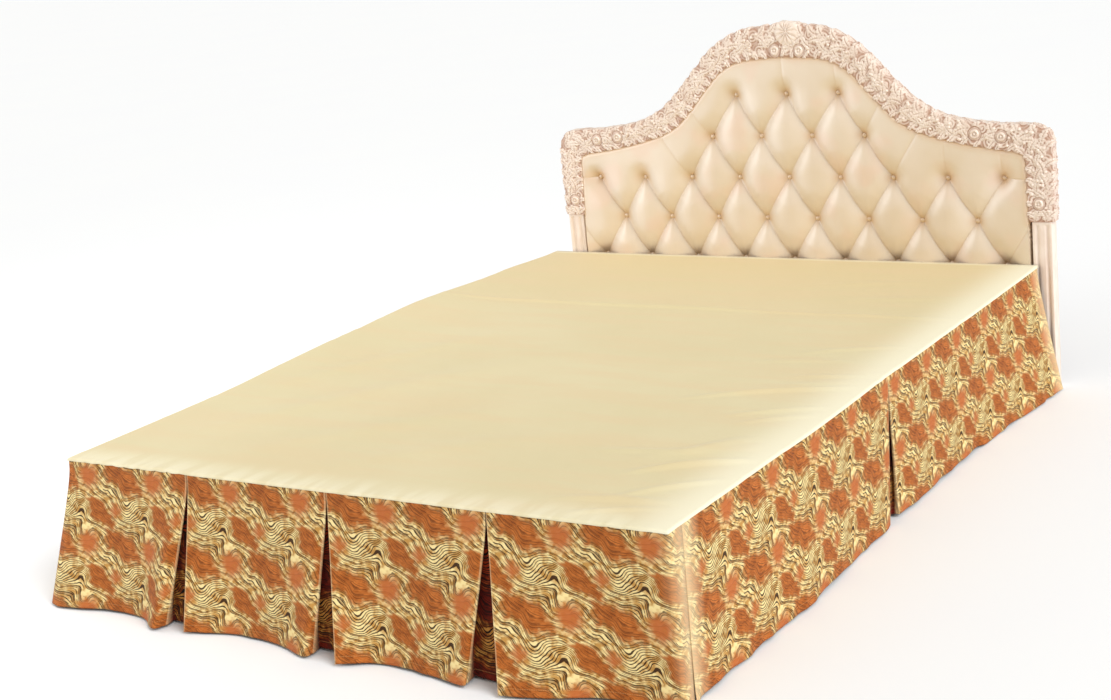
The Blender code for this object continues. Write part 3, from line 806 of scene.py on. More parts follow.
class Strip(list):
    """A strip's points, each with its place (along, out) at the seam and at the hem, how far it is rounded,
    how far it is inside a pleat and how far in front."""

    def add(self, top, hem, rounding=0.0, inside=0.0, front=0.0):
        self.append((np.array(top, float), np.array(hem, float), rounding, inside, front))

    def add_panel(self, points, left, right, columns, fold_before, fold_after):
        hem_line = smooth_points(points, columns)
        for number, share in enumerate(np.linspace(0.0, 1.0, columns)):
            is_fold = (number == 0 and fold_before) or (number == columns - 1 and fold_after)
            front = min(1.0, FRONT_PARTS * share if fold_before else 1.0,
                        FRONT_PARTS * (1 - share) if fold_after else 1.0)
            self.add((left + (right - left) * share, 0.0), hem_line[number],
                     FOLD_ROUNDING if is_fold else 0.0, front=front)

    def add_pleat(self, apex, left_edge, back_folds, right_edge):
        left_edge, right_edge = np.array(left_edge), np.array(right_edge)
        back_left, back_right = (np.array(fold) for fold in back_folds)
        inward = np.array((0.0, -LAYER_PITCH))
        near_left, near_right = apex - FOLD_CLEARANCE, apex + FOLD_CLEARANCE
        far_left, far_right = apex - PLEAT_DEPTH, apex + PLEAT_DEPTH
        self.add((near_left, -LAYER_PITCH), left_edge + inward, FOLD_ROUNDING, 0.3)
        self.add((far_left, -LAYER_PITCH), back_left - inward, FOLD_ROUNDING, 1.0)
        self.add((far_left, -2 * LAYER_PITCH), back_left, FOLD_ROUNDING, 1.0)
        for share in np.linspace(0.0, 1.0, UNDERLAY_COLUMNS + 2)[1:-1]:
            self.add((far_left + (far_right - far_left) * share, -2 * LAYER_PITCH),
                     back_left + (back_right - back_left) * share, 0.0, 1.0)
        self.add((far_right, -2 * LAYER_PITCH), back_right, FOLD_ROUNDING, 1.0)
        self.add((far_right, -LAYER_PITCH), back_right - inward, FOLD_ROUNDING, 1.0)
        self.add((near_right, -LAYER_PITCH), right_edge + inward, FOLD_ROUNDING, 0.3)

    def rounded(self, which):
        """The rounded path at the seam (0) or the hem (1); and each point's inside, front and painted
        highlight.
        """
        points, marks = [], []
        for number, row in enumerate(self):
            point, (reach, inside, front) = row[which], row[2:]
            curve = [point]
            if reach:
                ways = [self[number + step][which] - point for step in (-1, 1)]
                lengths = [np.linalg.norm(way) for way in ways]
                start, end = (point + way / length * min(reach, LONGEST_ROUNDING * length)
                              for way, length in zip(ways, lengths))
                curve = [(1 - step) ** 2 * start + 2 * step * (1 - step) * point + step ** 2 * end
                         for step in np.linspace(0.0, 1.0, CURVE_STEPS + 1)]
            points += curve
            # The third mark is a painted highlight on the rounded fold edges that face out.
            marks += [(inside, front, float(reach == FOLD_ROUNDING and inside < 0.5))] * len(curve)
        return np.array(points), *np.array(marks).T


def fill_strip(strip, panels, pleats, top_ends, columns):
    last = len(panels) - 1
    for number, points in enumerate(panels):
        left, right = top_ends[number]
        left += FOLD_CLEARANCE if number > 0 else 0.0
        right -= FOLD_CLEARANCE if number < last else 0.0
        strip.add_panel(points, left, right, columns, number > 0, number < last)
        if number < last:
            strip.add_pleat(right + FOLD_CLEARANCE, points[-1], pleats[number], panels[number + 1][0])


print("drops hang from", round(DROP_TOP, 4), "to", HEM_HEIGHT, "m")

# %% Hanging a strip
DROP_ROW_COUNT, ROW_CLOSENESS = 42, 0.075
# Waves of the cloth. Columns: height, pitch along the strip, reach from the hem or the seam.
HEM_RIPPLE, HEM_SCALLOP = (0.0016, 0.030, 0.045), (0.0016, 0.07, 0.05)
SEAM_PUCKER = (0.0009, 0.014, 0.018)
SOFT_WAVE, SOFT_PITCH, SOFT_SLANT = 0.0022, 0.11, 0.25
HEM_STEP, HEM_STEP_EASE = 0.0006, 0.0008
TUCK, TUCK_REACH = 0.0018, 0.0009
SEAM_ROWS = (0.0006, 0.0012, 0.0020, 0.0030)
# Along the seams that join two strips a painted highlight lightens the cloth too.
SEAM_LIGHT, SEAM_REACH = 2.2, 0.060


def hang_share(level):
    """How far the cloth has swung out at this share of its height: upright at the seam, then straight."""
    whole = math.hypot(1.0, HANG_SOFTNESS) - HANG_SOFTNESS
    return (np.hypot(level, HANG_SOFTNESS) - HANG_SOFTNESS) / whole


def row_levels():
    """Shares of the height, closer together at the seam and at the hem, where the small shapes are."""
    even = np.linspace(0.0, 1.0, DROP_ROW_COUNT)
    closer = even - np.sin(even * FULL_TURN) * ROW_CLOSENESS
    return np.concatenate([closer[:1], np.array(SEAM_ROWS) / DROP_LENGTH, closer[1:]])


def hang(name, strip, to_world, edge, ripple_scale, seed):
    """The strip as a sheet: to_world places a point, edge gives the deck's edge wave along the strip."""
    top, inside, front, pressed = strip.rounded(0)
    hem = strip.rounded(1)[0]
    steps = [np.linalg.norm(np.diff(path, axis=0), axis=1) for path in (top, hem)]
    along = np.concatenate([[0.0], np.cumsum((steps[0] + steps[1]) / 2)])
    levels = row_levels()[:, None]
    share = hang_share(levels)
    edge_out, edge_up = edge(top[:, 0])
    place = top[None] + (hem - top)[None] * share[..., None]
    place[..., 1] += edge_out * (1 - share)
    height = DROP_TOP + edge_up * (1 - levels) + (HEM_HEIGHT - DROP_TOP) * levels
    down = levels * DROP_LENGTH + 0 * along
    from_hem = DROP_LENGTH - down

    def edge_waves(size, number, distance):
        rise, pitch, reach = size
        return rise * wander(along, pitch, seed + number) * np.exp(-distance / reach)

    turned_hem = HEM_STEP / (1 + np.exp((from_hem - HEM_TURN) / HEM_STEP_EASE))
    soft = SOFT_WAVE * wander(along + SOFT_SLANT * down, SOFT_PITCH, seed + 2) * np.sin(levels * math.pi / 2)
    hem_wave = ripple_scale * edge_waves(HEM_RIPPLE, 0, from_hem)
    place[..., 1] += front * (hem_wave + edge_waves(SEAM_PUCKER, 1, down) + turned_hem + soft)
    tucked = TUCK * np.exp(-down / TUCK_REACH)
    place[..., 1] -= tucked
    height = height + tucked + ripple_scale * edge_waves(HEM_SCALLOP, 3, from_hem)
    x, y = to_world(place[..., 0], place[..., 1])
    piece, row, column = add_grid(name, np.stack([x, y, height], axis=-1))
    set_cloth_map(piece, row, column, along + PRINT_START + 0 * down, down + PRINT_DOWN)
    from_end = np.minimum(along, along[-1] - along)
    # Painted highlight on the folds, and along the seams at the strip's two ends.
    pressed = np.maximum(pressed, SEAM_LIGHT * np.clip(1.0 - from_end / SEAM_REACH, 0.0, 1.0))
    carry(piece, in_pleat=inside[column], pressed=pressed[column])
    finish_sheet(piece, DROP_FINISH)
    return piece, round(float(along[-1]), 3)


def level_edge(along):
    return np.zeros_like(along), np.zeros_like(along)


def declare_drop(piece, node, length):
    stand_for(piece, "printed_cloth", node)
    print(node, "cut to", length, "x", DROP_LENGTH, "m,", len(piece.data.polygons), "faces")


print("rows of points down a drop:", len(row_levels()))

# %% [markdown]
# ### Foot drop
# Four panels, three pleats, and a short return round each foot corner to a seam on the side. Every panel's
# hem swings out towards its right fold, and the last one lies flatter.

# %% Foot drop
# Hem points from each panel's left fold to its right one: along the foot from the left corner, and out.
PLEAT_APEXES = (0.353, 0.727, 1.111)
FOOT_PANELS = (
    ((0.010, 0.054), (0.110, 0.034), (0.200, 0.042), (0.266, 0.080), (0.285, 0.058)),
    ((0.347, 0.072), (0.460, 0.041), (0.580, 0.050), (0.678, 0.081), (0.692, 0.062)),
    ((0.770, 0.090), (0.860, 0.051), (0.970, 0.060), (1.066, 0.082), (1.074, 0.070)),
    ((1.160, 0.092), (1.250, 0.066), (1.340, 0.036), (1.440, 0.026), (1.505, 0.030)),
)
FOOT_PLEATS = (((0.281, 0.030), (0.352, 0.034)), ((0.688, 0.034), (0.768, 0.038)),
               ((1.070, 0.036), (1.156, 0.040)))
LEFT_CORNER = ((-0.084, -0.051), (-0.097, 0.000), (-0.078, 0.050), (-0.040, 0.062))
RIGHT_CORNER = ((1.520, 0.026), (1.519, 0.002), (1.516, -0.014))
FOOT_COLUMNS = 108

foot_strip = Strip()
seam = SEAM_FROM_CORNER - SEAM_GAP
left_tops = ((0.0, -seam), (0.0, -CORNER_REACH), (0.0, 0.0), (CORNER_REACH / 2, 0.0))
for top_point, hem_point, rounding in zip(left_tops, LEFT_CORNER, (0.0, 0.0, CORNER_ROUNDING, 0.0)):
    foot_strip.add(top_point, hem_point, rounding)
foot_edges = (CORNER_REACH, *PLEAT_APEXES, BED_WIDTH - CORNER_REACH)
fill_strip(foot_strip, FOOT_PANELS, FOOT_PLEATS, tuple(zip(foot_edges[:-1], foot_edges[1:])), FOOT_COLUMNS)
right_tops = ((BED_WIDTH, 0.0), (BED_WIDTH, -CORNER_REACH), (BED_WIDTH, -seam))
for top_point, hem_point, rounding in zip(right_tops, RIGHT_CORNER, (CORNER_ROUNDING, 0.0, 0.0)):
    foot_strip.add(top_point, hem_point, rounding)
foot_drop, foot_length = hang("foot_drop_sheet", foot_strip, lambda along, out: (along - SIDE, FOOT - out),
                              level_edge, 1.0, 20)
declare_drop(foot_drop, "foot_drop", foot_length)

# %% [markdown]
# ### Side drops
# The right side has one pleat at its middle and a hem that flares towards the head. The left side is made
# the same way, and its seam follows the wave of the deck's edge.

# %% Side drops
RIGHT_PANELS = (
    ((0.0142, 0.016), (0.320, 0.021), (0.540, 0.028), (0.750, 0.016), (0.890, 0.014), (0.941, 0.007)),
    ((0.993, 0.007), (1.120, 0.011), (1.360, 0.012), (1.630, 0.022), (1.830, 0.043), (1.995, 0.058)),
)
RIGHT_PLEATS = (((0.939, -0.010), (0.992, -0.010)),)
LEFT_PANELS = (
    ((0.0512, 0.084), (0.220, 0.062), (0.420, 0.034), (0.680, 0.020), (0.900, 0.026), (0.954, 0.022)),
    ((1.006, 0.020), (1.180, 0.014), (1.420, 0.026), (1.640, 0.016), (1.840, 0.030), (1.995, 0.044)),
)
LEFT_PLEATS = (((0.952, -0.002), (1.004, -0.002)),)
SIDE_COLUMNS, SIDE_RIPPLE = 230, 2.2
RIGHT_APEX, LEFT_APEX, HEAD_CLEARANCE = 0.985, 1.000, 0.003

for node, sign, apex, panels, pleats, edge_table, seed in (
        ("right_drop", 1, RIGHT_APEX, RIGHT_PANELS, RIGHT_PLEATS, RIGHT_EDGE, 40),
        ("left_drop", -1, LEFT_APEX, LEFT_PANELS, LEFT_PLEATS, LEFT_EDGE, 60)):
    strip = Strip()
    ends = ((SEAM_FROM_CORNER + SEAM_GAP, apex), (apex, BED_LENGTH - HEAD_CLEARANCE))
    fill_strip(strip, panels, pleats, ends, SIDE_COLUMNS)
    drop, drop_length = hang(node + "_sheet", strip,
                             lambda along, out: (sign * (SIDE + out), FOOT + along),
                             lambda along: edge_wave(edge_table, along), SIDE_RIPPLE, seed)
    declare_drop(drop, node, drop_length)

# %% [markdown]
# ## The bed under the cloth, kept plain
# The base and the headboard's backing board stay the imported solids, with a stained wood finish.
# Wood grain is noise stretched along the board.

# %% Wood finish
GRAIN_TURNS, PORE_TURNS = (7.0, 55.0, 55.0), (30.0, 900.0, 900.0)
WOOD_TONES, PORE_TONE = (colour(118, 78, 48), colour(164, 116, 76)), colour(84, 54, 34)
PORE_STEP, WOOD_RELIEF = (0.55, 0.75, 0.0, 0.35), (0.0003, 0.4)


def stained_wood():
    made, tree, shader = new_material("stained_wood", roughness=0.48, Coat_Weight=0.15)
    place = object_map(tree)
    grain, pores = noise(place, 1.0, 5.0, GRAIN_TURNS), noise(place, 1.0, 2.0, PORE_TURNS)
    tone = mix(between(grain, *PATCHES), *WOOD_TONES)
    feed(shader["Base Color"], mix(between(pores, *PORE_STEP), tone, PORE_TONE))
    add_bump(shader, pores, *WOOD_RELIEF)
    return made


WOOD_FINISH = stained_wood()
for name in ("bed_base", "headboard_board"):
    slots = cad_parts[name].data.materials
    slots.clear()
    slots.append(WOOD_FINISH)
print("wood on the base and the backing board")

# %% [markdown]
# ## Legs and posts
# A leg is a turned cone with an eased foot, and the headboard's posts are painted uprights with two flutes
# down the front. Both are cut from simple primitives, and take their places and sizes from the packed
# nodes.

# %% Helpers for rigid pieces
def start_edit(piece, pick_mode):
    deselect()
    piece.select_set(True)
    bpy.context.view_layer.objects.active = piece
    bpy.ops.object.mode_set(mode="EDIT")
    bpy.ops.mesh.select_mode(type=pick_mode)


def end_edit():
    bpy.ops.object.mode_set(mode="OBJECT")


def settle(piece, name, finish, slot, *nodes, smooth_angle=35.0):
    """Puts the piece's place into its mesh, finishes it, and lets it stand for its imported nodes."""
    apply_all(piece)
    bpy.ops.object.transform_apply(location=True, rotation=True, scale=True)
    bpy.ops.object.shade_smooth_by_angle(angle=math.radians(smooth_angle))
    piece.name = piece.data.name = name
    piece.data.materials.clear()
    piece.data.materials.append(finish)
    stand_for(piece, slot, *nodes)
    print(name, len(piece.data.polygons), "faces")


def ease_edges(piece, width, segments=3, limit=30.0):
    bevel = piece.modifiers.new("eased edges", "BEVEL")
    bevel.width = width
    bevel.segments = segments
    bevel.limit_method = "ANGLE"
    bevel.angle_limit = math.radians(limit)


print("helpers for rigid pieces ready")

# %% Legs
LEG_SIDES, LEG_TAPER, LEG_EASE = 48, 0.71, 0.003

for name in ("leg_foot_left", "leg_foot_right", "leg_head_left", "leg_head_right", "leg_centre"):
    low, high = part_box(name)
    middle = (low + high) / 2
    top_radius = (high.x - low.x) / 2
    deselect()
    bpy.ops.mesh.primitive_cone_add(vertices=LEG_SIDES, radius1=top_radius * LEG_TAPER, radius2=top_radius,
                                    depth=high.z - low.z, location=middle)
    ease_edges(bpy.context.object, LEG_EASE)
    settle(bpy.context.object, name + "_turned", WOOD_FINISH, "bed_wood", name)

# %% [markdown]
# ## Painted wood and leather
# The headboard's frame is ivory paint over carving, pinkish brown in the hollows, partly from glaze left there
# and partly as painted shade. The pad is pearly cream leather with a fine grain, and a painted golden shade
# lies round its buttons, in its creases and along its edge. Where each surface lies deep, the piece's own
# attribute says so.

# %% Paint and leather finishes
BRUSH_TURNS, LEATHER_GRAIN = (60.0, 60.0, 22.0), 620.0
# The rim's pinkish brown in the hollows is glaze and painted shade.
PAINT_TONES, GLAZE_AND_SHADE_TONE = (colour(234, 215, 200), colour(243, 228, 215)), colour(178, 134, 110)
LEATHER_TONES, BLUSH_TONE = (colour(220, 198, 168), colour(228, 209, 185)), colour(228, 194, 166)
# Painted golden shade of the leather round the buttons, in the creases and at the pad's edge.
TUFT_SHADE_TONE = colour(200, 150, 76)
PAINT_RELIEF, LEATHER_RELIEF = (0.0006, 0.25), (0.00025, 0.35)
# How strongly the rim's glaze and painted shade, and the leather's painted shade, are laid on.
GLAZE_AND_SHADE_SHARE, TUFT_SHADE_SHARE = 0.95, 0.80
# The steps over which the hollows' glaze and painted shade, the blush and the grain's cells set in, as
# between takes them.
GLAZE_AND_SHADE_STEP, BLUSH_STEP, CELL_STEP = (0.08, 0.80), (0.50, 0.68, 0.0, 0.6), (0.0, 0.25)
TONE_TURNS, BLUSH_TURNS = 6.0, 8.0


def ivory_paint():
    made, tree, shader = new_material("ivory_paint", roughness=0.36, Coat_Weight=0.25, Coat_Roughness=0.30)
    brushed = noise(object_map(tree), 1.0, 3.0, BRUSH_TURNS)
    # Pinkish brown in the hollows: glaze, and painted shade.
    glaze_and_shade = between(carried(tree, "hollow"), *GLAZE_AND_SHADE_STEP) * GLAZE_AND_SHADE_SHARE
    feed(shader["Base Color"], mix(glaze_and_shade, mix(between(brushed, *PATCHES), *PAINT_TONES), GLAZE_AND_SHADE_TONE))
    add_bump(shader, brushed, *PAINT_RELIEF)
    return made


def cream_leather():
    made, tree, shader = new_material("cream_leather", roughness=0.42, Specular_IOR_Level=0.8,
                                      Coat_Weight=1.0, Coat_Roughness=0.40, Coat_IOR=2.4)
    place = object_map(tree)
    cells = wire(tree, "ShaderNodeTexVoronoi", place, None, LEATHER_GRAIN, output="Distance",
                 feature="DISTANCE_TO_EDGE")
    tone = mix(between(noise(place, TONE_TURNS, 3.0), *PATCHES), *LEATHER_TONES)
    tone = mix(between(noise(place, BLUSH_TURNS), *BLUSH_STEP), tone, BLUSH_TONE)
    # Painted golden shade where the attribute is high: round the buttons, in the creases and at the edge.
    feed(shader["Base Color"], mix(carried(tree, "hollow") * TUFT_SHADE_SHARE, tone, TUFT_SHADE_TONE))
    add_bump(shader, between(cells, *CELL_STEP), *LEATHER_RELIEF)
    return made


PAINT_FINISH = ivory_paint()
LEATHER_FINISH = cream_leather()
print("finishes:", PAINT_FINISH.name, LEATHER_FINISH.name)

# %% Posts
FLUTE_INSET, FLUTE_DEPTH, POST_EASE = 0.007, 0.004, 0.0015

for name in ("post_left", "post_right"):
    low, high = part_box(name)
    size = high - low
    deselect()
    bpy.ops.mesh.primitive_cube_add(size=1.0, location=(low + high) / 2, scale=size)
    post = bpy.context.object
    bpy.ops.object.transform_apply(location=True, rotation=True, scale=True)
    start_edit(post, "FACE")
    bpy.ops.mesh.select_all(action="SELECT")
    bpy.ops.mesh.bisect(plane_co=((low.x + high.x) / 2, 0, 0), plane_no=(1, 0, 0))
    end_edit()
    for face in post.data.polygons:
        face.select = face.normal.y < -0.9
    start_edit(post, "FACE")
    bpy.ops.mesh.inset(thickness=FLUTE_INSET, depth=0.0, use_individual=True)
    bpy.ops.mesh.inset(thickness=FLUTE_DEPTH, depth=-FLUTE_DEPTH, use_individual=True)
    end_edit()
    ease_edges(post, POST_EASE)
    settle(post, name + "_fluted", PAINT_FINISH, "ivory_paint", name)

# %% [markdown]
# ## Headboard pad
# The pad is diamond tufted: buttons pull the leather down on a staggered lattice, and pleats run from
# button to button, or straight to the edge where no further button stands. The height of the leather above
# its deepest point grows with the distance from the nearest pleat, like a well filled pillow, and dips once
# more at a button.

# %% Headboard outline and distances
BOARD_CENTRE = 0.047
RIM_FRONT, RIM_BACK = 1.012, 1.052
RIM_BOTTOM = 0.450
BOARD_BOTTOM = 0.205
HALF_WIDTH, POST_INNER = 0.745, 0.683
# Half outlines from the middle to the side: distance from the middle, height above the floor.
RIM_OUTER = ((0.000, 0.986), (0.130, 0.970), (0.215, 0.926), (0.272, 0.872), (0.330, 0.810), (0.400, 0.754),
             (0.480, 0.722), (0.600, 0.705), (0.690, 0.702), (0.732, 0.684), (HALF_WIDTH, 0.640),
             (HALF_WIDTH, RIM_BOTTOM))
RIM_INNER = ((0.000, 0.903), (0.120, 0.894), (0.185, 0.868), (0.235, 0.822), (0.290, 0.762), (0.345, 0.712),
             (0.420, 0.680), (0.530, 0.654), (0.620, 0.640), (0.660, 0.632), (0.679, 0.606),
             (POST_INNER, RIM_BOTTOM))
OUTLINE_POINTS = 240


def camelback(half, count=OUTLINE_POINTS):
    """The whole outline from its left foot over the crest to its right foot, in the frame's x and z."""
    right = smooth_points(half, count)
    left = right[:0:-1] * np.array((-1.0, 1.0))
    return np.vstack([left, right]) + np.array((BOARD_CENTRE, 0.0))


def distances(places, starts, ends):
    """Each place's distance to every one of the straight pieces between starts and ends, piece by piece."""
    for start, end in zip(starts, ends):
        run = end - start
        share = np.clip(((places - start) @ run) / (run @ run), 0.0, 1.0)
        yield np.linalg.norm(places - start - share[..., None] * run, axis=-1)


def distance_to(places, starts, ends):
    nearest = np.full(places.shape[:-1], np.inf)
    for distance in distances(places, starts, ends):
        nearest = np.minimum(nearest, distance)
    return nearest


def blended_distance(places, starts, ends):
    """Like distance_to, but without a crease where two pieces are equally near."""
    gathered = sum((distance + 1e-4) ** -4 for distance in distances(places, starts, ends))
    return gathered ** -0.25


outer_line, inner_line = camelback(RIM_OUTER), camelback(RIM_INNER)
print("headboard outline:", len(outer_line), "points")

# %% Buttons and pleats
LATTICE_MIDDLE, LATTICE_PITCH = 0.040, 0.155
# Columns: height above the floor, first and last place along the row in half pitches, shift to the right.
BUTTON_ROWS = ((0.797, -2, 2, 0.008), (0.679, -3, 3, 0.0), (0.562, -8, 8, 0.0), (0.445, -7, 7, 0.0),
               (0.327, -8, 8, 0.0), (0.210, -7, 7, 0.0))
# Buttons, by row and half pitch, above which the leather is smooth instead of pleated.
SMOOTH_ABOVE = ((0, -2), (2, -8), (2, -6))
PLEAT_REACH = 0.30


def button_places():
    """Buttons by row and half pitch."""
    found = {}
    for number, (height, first, last, shift) in enumerate(BUTTON_ROWS):
        for half_step in range(first, last + 1, 2):
            x = LATTICE_MIDDLE + half_step * LATTICE_PITCH / 2 + shift
            found[number, half_step] = np.array((x, height))
    return found


def pleat_lines(buttons):
    """Starts and ends of the pleats between two buttons, and of those from a button to the pad's edge."""
    inner, outer = [], []
    rise = BUTTON_ROWS[0][0] - BUTTON_ROWS[1][0]
    slant = np.array((LATTICE_PITCH / 2, rise))
    for (number, half_step), place in buttons.items():
        below = [(number + 1, half_step + side) for side in (-1, 1)]
        above = [(number - 1, half_step + side) for side in (-1, 1)]
        inner += [(place, buttons[key]) for key in below if key in buttons]
        missing = [side for side, key in zip((-1, 1), above) if key not in buttons]
        if len(missing) == 2 and (number, half_step) not in SMOOTH_ABOVE:
            outer.append((place, place + np.array((0.0, PLEAT_REACH))))
        elif len(missing) == 1:
            outer.append((place, place + slant * np.array((missing[0], 1.0)) * PLEAT_REACH / rise))
        for side, up, down in zip((-1, 1), above, below):
            if up not in buttons and down not in buttons and (number, half_step + 2 * side) not in buttons:
                outer.append((place, place + np.array((side * PLEAT_REACH, 0.0))))
    return [[np.array(ends) for ends in zip(*lines)] for lines in (inner, outer)]


BUTTONS = button_places()
PLEATS, EDGE_PLEATS = pleat_lines(BUTTONS)
print(len(BUTTONS), "buttons,", len(PLEATS[0]), "pleats,", len(EDGE_PLEATS[0]), "pleats to the edge")

# %% Pad surface
PAD_TOP_FRONT, PAD_DEEPEST = 1.0055, 1.0365
PAD_COLUMNS, HIDDEN_PAD_ROWS, PAD_ROWS = 420, 24, 204
PAD_CLEARANCE, PAD_BACK_GAP = 0.001, 0.0005
# Columns of the grid are this much closer together towards the sides.
SIDEWARD = 0.20
PILLOW_REACH, PILLOW_SHARE = 0.046, 0.46
DIMPLE_REACH, DIMPLE_POWER = 0.030, 1.2
EDGE_PLEAT_REACH, EDGE_PLEAT_DEPTH = 0.016, 0.16
# Width and depth of the creases, with the painted shade in them and round the buttons; the edge's rounding,
# with the painted shade along it.
CREASE_WIDTH, CREASE_DEPTH, CREASE_SHADE, SHADE_REACH = 0.0018, 0.035, 0.35, 0.018
EDGE_REACH, EDGE_LEVEL, EDGE_SHADE = 0.012, 0.70, 0.75


def pad_height(places):
    """0 at the deepest point of the pad and 1 on top of its pillows; and the painted shade, 1 where it is
    darkest.
    """
    spots = np.array(list(BUTTONS.values()))
    to_button = distance_to(places, spots, spots + 1e-6)
    to_edge = distance_to(places, inner_line[:-1], inner_line[1:])
    to_edge_pleat = distance_to(places, *EDGE_PLEATS)
    to_crease = np.minimum(distance_to(places, *PLEATS), to_edge_pleat)
    near = np.clip(blended_distance(places, *PLEATS) / PILLOW_REACH, 0.0, 1.0)
    pillow = 1.0 - (1.0 - near) ** 2 - EDGE_PLEAT_DEPTH * np.exp(-to_edge_pleat / EDGE_PLEAT_REACH)
    dimple = 1.0 - np.exp(-(to_button / DIMPLE_REACH) ** DIMPLE_POWER)
    crease = np.exp(-(to_crease / CREASE_WIDTH) ** 2)
    height = PILLOW_SHARE * pillow + (1.0 - PILLOW_SHARE) * dimple - CREASE_DEPTH * crease
    edge = np.sqrt(1.0 - (1.0 - np.clip(to_edge / EDGE_REACH, 0.0, 1.0)) ** 2)
    # Painted shade: darkest round the buttons, less in the creases and along the edge.
    painted_shade = np.maximum(np.exp(-(to_button / SHADE_REACH) ** 2), CREASE_SHADE * crease)
    painted_shade = np.maximum(painted_shade, EDGE_SHADE * np.exp(-(to_edge / EDGE_REACH) ** 2))
    return height * (EDGE_LEVEL + (1.0 - EDGE_LEVEL) * edge), painted_shade


def pad_surface():
    half = POST_INNER - PAD_CLEARANCE
    spread = np.linspace(-1.0, 1.0, PAD_COLUMNS)
    x = BOARD_CENTRE + half * ((1.0 - SIDEWARD) * spread + SIDEWARD * np.sin(spread * math.pi / 2))
    top_z = inner_line[:, 1] - PAD_CLEARANCE
    top = np.interp(x, np.maximum.accumulate(inner_line[:, 0]), top_z)
    hidden = np.linspace(BOARD_BOTTOM, DECK_MID, HIDDEN_PAD_ROWS, endpoint=False)[:, None] + 0.0 * top
    share = np.linspace(0.0, 1.0, PAD_ROWS)[:, None]
    z = np.vstack([hidden, DECK_MID + (top - DECK_MID)[None] * share])
    places = np.stack([np.broadcast_to(x, z.shape), z], axis=-1)
    height, painted_shade = pad_height(places)
    y = PAD_DEEPEST - (PAD_DEEPEST - PAD_TOP_FRONT) * height
    return np.stack([places[..., 0], y, z], axis=-1), painted_shade


def close_back(piece, back):
    """Carries the border of a sheet back to the plane y = back and fills it, which closes the piece."""
    start_edit(piece, "EDGE")
    bpy.ops.mesh.select_all(action="SELECT")
    bpy.ops.mesh.region_to_loop()
    bpy.ops.mesh.extrude_edges_move(TRANSFORM_OT_translate={"value": (0.0, back - RIM_FRONT, 0.0)})
    end_edit()
    for vertex in piece.data.vertices:
        if vertex.select:
            vertex.co.y = back
    start_edit(piece, "EDGE")
    bpy.ops.mesh.edge_face_add()
    bpy.ops.mesh.select_all(action="SELECT")
    bpy.ops.mesh.normals_make_consistent(inside=False)
    end_edit()


pad_points, pad_hollow = pad_surface()
pad, row, column = add_grid("headboard_pad_tufted", pad_points)
carry(pad, hollow=np.clip(pad_hollow[row, column], 0.0, 1.0))
close_back(pad, RIM_BACK - PAD_BACK_GAP)
settle(pad, "headboard_pad_tufted", LEATHER_FINISH, "cream_leather", "headboard_pad", smooth_angle=60.0)

# %% Buttons
BUTTON_RADIUS, BUTTON_FLATNESS, BUTTON_STAND, BUTTON_SHADE = 0.0070, 0.55, 0.003, 0.7

button_pieces = []
for place in BUTTONS.values():
    deselect()
    bpy.ops.mesh.primitive_uv_sphere_add(segments=20, ring_count=10, radius=BUTTON_RADIUS,
                                         location=(place[0], PAD_DEEPEST - BUTTON_STAND, place[1]))
    bpy.context.object.scale = (1.0, BUTTON_FLATNESS, 1.0)
    bpy.ops.object.transform_apply(location=True, rotation=True, scale=True)
    button_pieces.append(bpy.context.object)
deselect()
for piece in button_pieces:
    piece.select_set(True)
bpy.context.view_layer.objects.active = button_pieces[0]
bpy.ops.object.join()
# The buttons take the painted shade of the dimples they sit in.
carry(button_pieces[0], hollow=np.full(len(button_pieces[0].data.vertices), BUTTON_SHADE))
settle(button_pieces[0], "headboard_buttons", LEATHER_FINISH, "cream_leather")

# %% [markdown]
# ## Carved rim
# The rim is a moulding carved with scrolls, leaves, berries and roses, and a shell at the crest. Its
# surface is a grid that starts behind, turns round the outer edge, runs across the front and closes again
# behind, as a tube. The moulding's profile gives each point its base height, and every ornament raises the
# points under it, so the carving is real relief. It is a generic design of leaves and roses.

# %% Measures of the rim and its carving
RIM_ALONG, RIM_ACROSS, WRAP_ROWS = 1300, 54, 14
# How far round the outer edge the carving goes, and over which length it turns to face outwards.
WRAP, WRAP_TURN = 0.034, 0.008
LEAF_RISE, ROSE_RISE = 0.0075, 0.0095
# The moulding's crown, and how far its foot lies under the rim's front. Its inner edge stands up by the
# lip, so that the carving's lobes lie over the pad.
CROWN, CROWN_MIDDLE, CROWN_HALF, MOULDING_FOOT = 0.009, 0.48, 0.53, 0.008
INNER_LIP, LIP_START = 0.007, 0.75
# Columns: share of the way round from the left foot, share across from the outer edge, radius.
ROSES = ((0.4925, 0.78, 0.017), (0.5305, 0.78, 0.017), (0.186, 0.50, 0.018), (0.150, 0.50, 0.017),
         (0.815, 0.50, 0.018), (0.851, 0.50, 0.017), (0.022, 0.55, 0.017), (0.976, 0.55, 0.017))
# The shell: its place and radius as above; its ribs; how deep they are; where its foot is; its reach.
SHELL, SHELL_RIBS, RIB_DEPTH, SHELL_FOOT, SHELL_REACH = (0.511, 0.34, 0.030), 13, 0.45, 0.4, 1.2
# Rows of leaves: share across, how many, half length, half width, turn away from the rim's direction.
LEAF_ROWS = ((0.13, 58, 0.024, 0.0105, 0.75), (0.36, 50, 0.028, 0.0115, -0.45),
             (0.60, 54, 0.026, 0.0110, 0.40), (0.80, 62, 0.021, 0.0095, -0.80),
             (-0.20, 64, 0.021, 0.0095, 0.50))
# How a leaf's edge is lobed, how deep and wide its groove is, how it is veined, and how high its stem lies.
LOBE_DEPTH, LOBE_TURNS, LOBE_SLANT = 0.26, 13.0, 2.2
GROOVE_DEPTH, GROOVE_WIDTH = 0.50, 0.17
VEIN_DEPTH, VEIN_TURNS, VEIN_SLANT = 0.24, 26.0, 5.0
STEM_LEVEL, LEAF_FULLNESS, LEAF_CURL = 0.55, 0.4, 0.35
